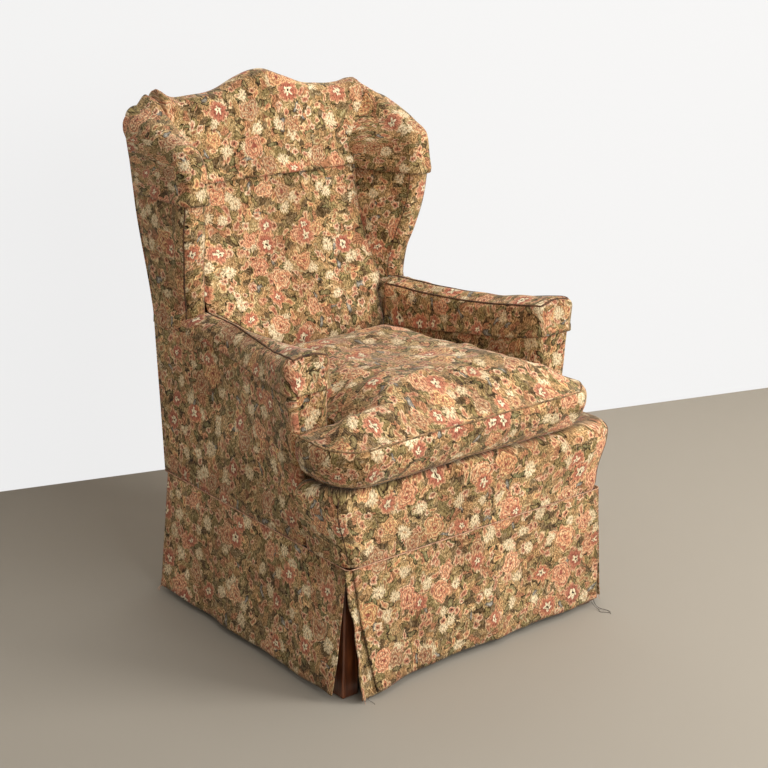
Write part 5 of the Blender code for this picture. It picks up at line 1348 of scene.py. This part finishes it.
def makeSkirt():
    z = np.linspace(chair.seamZ - 0.0005, chair.hemZ, 90)[:, None]
    d = dropAt(z)
    f = np.linspace(0, 1, 190)[None]
    left = -(chair.seamHalfFront - 0.013) + 0.040 * d ** 1.3
    right = chair.seamHalfFront - 0.005 + 0.012 * d
    x = left + (right - left) * f
    wave = 0.0045 * d * ripple(f, 3.0) + 0.002 * d * (lumps(x, z, 5, 0.12) + 1.0) * 0.5
    wave = wave + 0.004 * d * bell(x + 0.05 - 0.1 * d, 0.018) + 0.003 * d * bell(x - 0.18 + 0.05 * d, 0.015)
    hang = 0.002 * np.sin(f * 19.0) * d
    grid = np.stack([x, chair.frontY - wave - swing(x, z), z + hang * 0.6 + 0 * x], 2)
    weave = np.stack([x + 16.1, z + 0 * x + 0.2], 2)
    skirtPanel("skirt_front_cloth", grid, weave, (None, 0.0, None), ("skirt_front",))
    for word, side in (("left", -1), ("right", 1)):
        slit = chair.frontY + 0.006 + (0.010 if side < 0 else 0.0) * d ** 1.3
        y = slit + (chair.backSeamY - 0.010 - slit) * f
        wave = 0.004 * d * ripple(f, 2.5, 1.0) + 0.0025 * d * (lumps(y, z, 7 + side, 0.13) + 1.0) * 0.5
        grid = np.stack([seamHalf(y) + 0.021 * d + wave, y + 0 * z, z + 0.0015 * np.sin(f * 23.0) * d], 2)
        weave = np.stack([y + 17.3 + side + 0 * z, z + 0.5 + 0 * y], 2)
        skirtPanel("skirt_side_cloth_" + word, toSide(side, grid), weave, (0.0, None, None),
                   ("skirt_" + word,))
    half = chair.seamHalfBack - 0.006 + 0.012 * d
    g = np.linspace(-1, 1, 180)[None]
    wave = 0.004 * d * ripple(g, 1.5) + 0.002 * d * (lumps(g * 0.3, z, 13, 0.12) + 1) * 0.5
    grid = np.stack([g * half, chair.backSeamY + 0.010 * d + wave, z + 0 * g], 2)
    weave = np.stack([g * half + 19.7, z + 0 * g + 0.1], 2)
    skirtPanel("skirt_back_cloth", grid, weave, (None, 0.0, None), ("skirt_back",))
    makeFlaps()
    # the seam between skirt and covers shows as a thin pale edge
    alongY = np.linspace(chair.backSeamY, chair.frontY + 0.012, 60)
    ring = [(seamHalf(y) + 0.0006, y, chair.seamZ) for y in alongY]
    turn = np.linspace(0, math.pi / 2, 7)[1:]
    corner = [(chair.seamHalfFront + 0.0006 - 0.012 * (1 - math.cos(a)),
               chair.frontY + 0.012 - 0.0126 * math.sin(a), chair.seamZ) for a in turn]
    acrossX = np.linspace(chair.seamHalfFront - 0.016, 0, 30)
    frontRun = [(x, chair.frontY - 0.0006, chair.seamZ) for x in acrossX]
    halfPath = np.array(ring + corner + frontRun)
    path = np.vstack([halfPath, (halfPath * [-1, 1, 1])[::-1][1:]])
    acrossX = np.linspace(-chair.seamHalfBack, chair.seamHalfBack, 40)[1:-1]
    back = np.array([(x, chair.backSeamY + 0.0006, chair.seamZ) for x in acrossX])
    declare(tube("skirt_seam_edge", np.vstack([path, back]), 0.0009, seamPink, closed=True))
    # frayed corners: a few threads have come away from the hem and lie on the floor
    threads = [(threadGrey, 0.0006, [(0.322, -0.372, 0.022), (0.318, -0.384, 0.010), (0.322, -0.392, 0.003),
                                     (0.330, -0.402, 0.0016),
                                     (0.333, -0.414, 0.0012), (0.326, -0.422, 0.0010)]),
               (threadGrey, 0.0005, [(0.313, -0.372, 0.020), (0.315, -0.386, 0.007),
                                     (0.321, -0.394, 0.0014), (0.313, -0.401, 0.0012),
                                     (0.320, -0.410, 0.0012), (0.329, -0.417, 0.0011)]),
               (seamPink, 0.0005, [(0.334, -0.366, 0.030), (0.341, -0.371, 0.021), (0.343, -0.374, 0.011)]),
               (seamPink, 0.0005, [(0.337, -0.362, 0.044), (0.346, -0.365, 0.039), (0.349, -0.369, 0.031)]),
               (threadGrey, 0.0005, [(-0.304, -0.386, 0.012), (-0.300, -0.393, 0.003),
                                     (-0.296, -0.402, 0.0012), (-0.298, -0.409, 0.0010)]),
               (seamPink, 0.0005, [(-0.307, -0.388, 0.014), (-0.310, -0.393, 0.006),
                                   (-0.311, -0.398, 0.0012)]),
               (seamPink, 0.0005, [(-0.342, 0.238, 0.022), (-0.351, 0.244, 0.016), (-0.356, 0.242, 0.007)]),
               (threadGrey, 0.0005, [(-0.341, 0.228, 0.070), (-0.350, 0.233, 0.067),
                                     (-0.355, 0.229, 0.060)]),
               (seamPink, 0.0005, [(-0.340, 0.247, 0.018), (-0.348, 0.254, 0.010), (-0.353, 0.253, 0.004)])]
    for count, (material, radius, way) in enumerate(threads):
        declare(tube("loose_thread_%d" % (count + 1), chaikin(np.array(way), 3), radius, material, sides=6))


def flapPath(front, sideX, reachX, reachY, corner, endX):
    turn = np.radians(np.linspace(-90, 0, 12))
    arc = np.column_stack([sideX - corner + corner * np.cos(turn), front + corner + corner * np.sin(turn)])
    rough = np.vstack([[reachX, front], arc, [endX, reachY]])
    steps = np.r_[0, np.cumsum(np.hypot(*np.diff(rough, axis=0).T))]
    even = np.sort(np.r_[np.linspace(0, steps[-1], 60), steps])
    return np.column_stack([np.interp(even, steps, rough[:, k]) for k in (0, 1)])


def makeFlaps():
    gap = chair.cloth + chair.lay
    z = np.linspace(chair.seamZ - 0.002, chair.hemZ - 0.004, 70)[:, None]
    d = dropAt(z)
    path = flapPath(chair.frontY + gap, chair.seamHalfFront - gap - 0.0004, 0.24, -0.27, 0.008,
                    float(seamHalf(-0.27)) - gap - 0.0004)
    x = path[None, :, 0] + 0.010 * d * (path[None, :, 0] > 0.30)
    grid = np.stack([x, path[None, :, 1] + 0 * z, z + 0 * x], 2)
    weave = np.stack([runs(grid, 1) + 21.0, z + 0 * x], 2)
    skirtPanel("pleat_flap_cloth_front_right", grid, weave, (0.24, -0.27, None),
               ("pleat_flap_front_right",))
    z = np.linspace(chair.seamZ - 0.002, chair.hemZ - 0.008, 90)[:, None]
    d = dropAt(z)
    f = np.linspace(0, 1, 60)[None]
    left = -chair.seamHalfFront - 0.003 + 0.018 * smooth((d - 0.08) / 0.5)
    x = left + (-0.20 - left) * f
    curl = 0.006 * d ** 4 * (1 - f) ** 4 + 0.002 * np.sin(d * 9.0) * (1 - f) ** 3 * d
    y = chair.frontY + gap - 0.85 * swing(x, z) - curl
    grid = np.stack([x + 0.0015 * np.sin(z * 90.0) * (1 - f) ** 4, y,
                     z - 0.004 * d * (1 - f) ** 6 * np.sin(f * 300.0)], 2)
    weave = np.stack([x + 22.0, z + 0.3 + 0 * x], 2)
    skirtPanel("pleat_flap_cloth_front_left", grid, weave, (None, 0.0, None), ("pleat_flap_front_left",))
    for word, side in (("left", -1), ("right", 1)):
        z = np.linspace(chair.seamZ - 0.002, chair.hemZ - 0.002, 60)[:, None]
        d = dropAt(z)
        half = float(seamHalf(chair.backSeamY - 0.01)) - gap - 0.0006
        path = flapPath(-(chair.backSeamY - gap), half, 0.24, -0.19, 0.008, half)
        x = path[None, :, 0] + 0.008 * d * (path[None, :, 0] > 0.30)
        y = -path[None, :, 1] + 0.004 * d * (path[None, :, 1] < -0.245)
        grid = np.stack([x, y, z + 0 * x], 2)
        weave = np.stack([runs(grid, 1) + 23.0 + side, z + 0 * x], 2)
        skirtPanel("pleat_flap_cloth_back_" + word, toSide(side, grid), weave, (side * 0.24, 0.19, None),
                   ("pleat_flap_back_" + word,))


makeSkirt()
print("skirt hung")


# Camera, lamps and the plain stage
def makeStage():
    scene = bpy.context.scene
    view = dict(azimuth=-39.9, height=18.11, roll=0.7, away=3.321, target=(0.029, -0.033, 0.462),
                lens=75.75)
    az, el, roll = (math.radians(view[k]) for k in ("azimuth", "height", "roll"))
    back = np.array([math.sin(az) * math.cos(el), -math.cos(az) * math.cos(el), math.sin(el)])
    right = np.array([math.cos(az), math.sin(az), 0.0])
    up = np.cross(back, right)
    right, up = math.cos(roll) * right + math.sin(roll) * up, -math.sin(roll) * right + math.cos(roll) * up
    place = np.array(view["target"]) + back * view["away"]
    data = bpy.data.cameras.new("camera")
    data.lens, data.sensor_width, data.clip_end = view["lens"], 36.0, 30.0
    camera = newObject("camera", data)
    camera.matrix_world = Matrix([*np.column_stack([right, up, back, place]).tolist(), [0, 0, 0, 1]])
    scene.camera = camera

    def lamp(name, place, aim, size, power, colour):
        light = bpy.data.lights.new(name, "AREA")
        light.shape, light.size, light.energy = "SQUARE", size, power
        light.color = hexColour(colour)[:3]
        obj = newObject(name, light)
        obj.location = place
        obj.rotation_euler = (Vector(aim) - Vector(place)).to_track_quat("-Z", "Y").to_euler()

    lamp("softbox right", (1.75, -2.45, 2.0), (0.0, -0.1, 0.5), 1.5, 84.0, "#FFFAF4")
    lamp("softbox front", (-0.4, -3.3, 1.5), (0.0, 0.0, 0.6), 1.8, 38.0, "#FFFFFF")
    lamp("softbox above", (0.5, -0.8, 3.0), (0.0, 0.0, 0.5), 1.6, 24.0, "#FFFFFF")
    world = bpy.data.worlds.new("studio")
    scene.world = world
    world.use_nodes = True
    tree = world.node_tree
    plain = tree.nodes["Background"]
    plain.inputs["Color"].default_value = hexColour("#FFF6EC")
    plain.inputs["Strength"].default_value = 0.50
    white = add(tree, "Background", {"Color": hexColour("#F4F4F4"), "Strength": 1.0})
    ray = add(tree, "LightPath")
    mixed = add(tree, "MixShader", {}, {0: ray.outputs["Is Camera Ray"], 1: plain, 2: white})
    tree.links.new(mixed.outputs[0], tree.nodes["World Output"].inputs["Surface"])
    scene.view_settings.view_transform = "Standard"

    def sheetOf(name, corners, colour, rough):
        mesh = bpy.data.meshes.new(name)
        mesh.from_pydata(corners, [], [(0, 1, 2, 3)])
        obj = newObject(name, mesh)
        material, tree, shader = newMaterial(name + " paint")
        shader.inputs["Base Color"].default_value = hexColour(colour)
        shader.inputs["Roughness"].default_value = rough
        if name == "wall":  # seen as plain white without more light on the chair, and clear from behind
            glow = add(tree, "Emission", {"Color": hexColour("#F4F4F4"), "Strength": 1.0})
            ray = add(tree, "LightPath")
            share = add(tree, "Math MULTIPLY", {1: 0.9}, {0: ray.outputs["Is Camera Ray"]})
            both = add(tree, "MixShader", {}, {0: share, 1: shader, 2: glow})
            side = add(tree, "NewGeometry")
            clear = add(tree, "BsdfTransparent")
            shown = add(tree, "MixShader", {}, {0: side.outputs["Backfacing"], 1: both, 2: clear})
            tree.links.new(shown.outputs[0], tree.nodes["Material Output"].inputs["Surface"])
        putOn(obj, material)

    sheetOf("floor", [(-6, -6, 0), (6, -6, 0), (6, 6, 0), (-6, 6, 0)], "#9A9489", 0.85)
    wall = lambda x: 0.867 - 0.298 * x
    sheetOf("wall", [(-4, wall(-4), -0.01), (4.5, wall(4.5), -0.01), (4.5, wall(4.5), 4.0),
                     (-4, wall(-4), 4.0)], "#E6E5E3", 0.9)


makeStage()
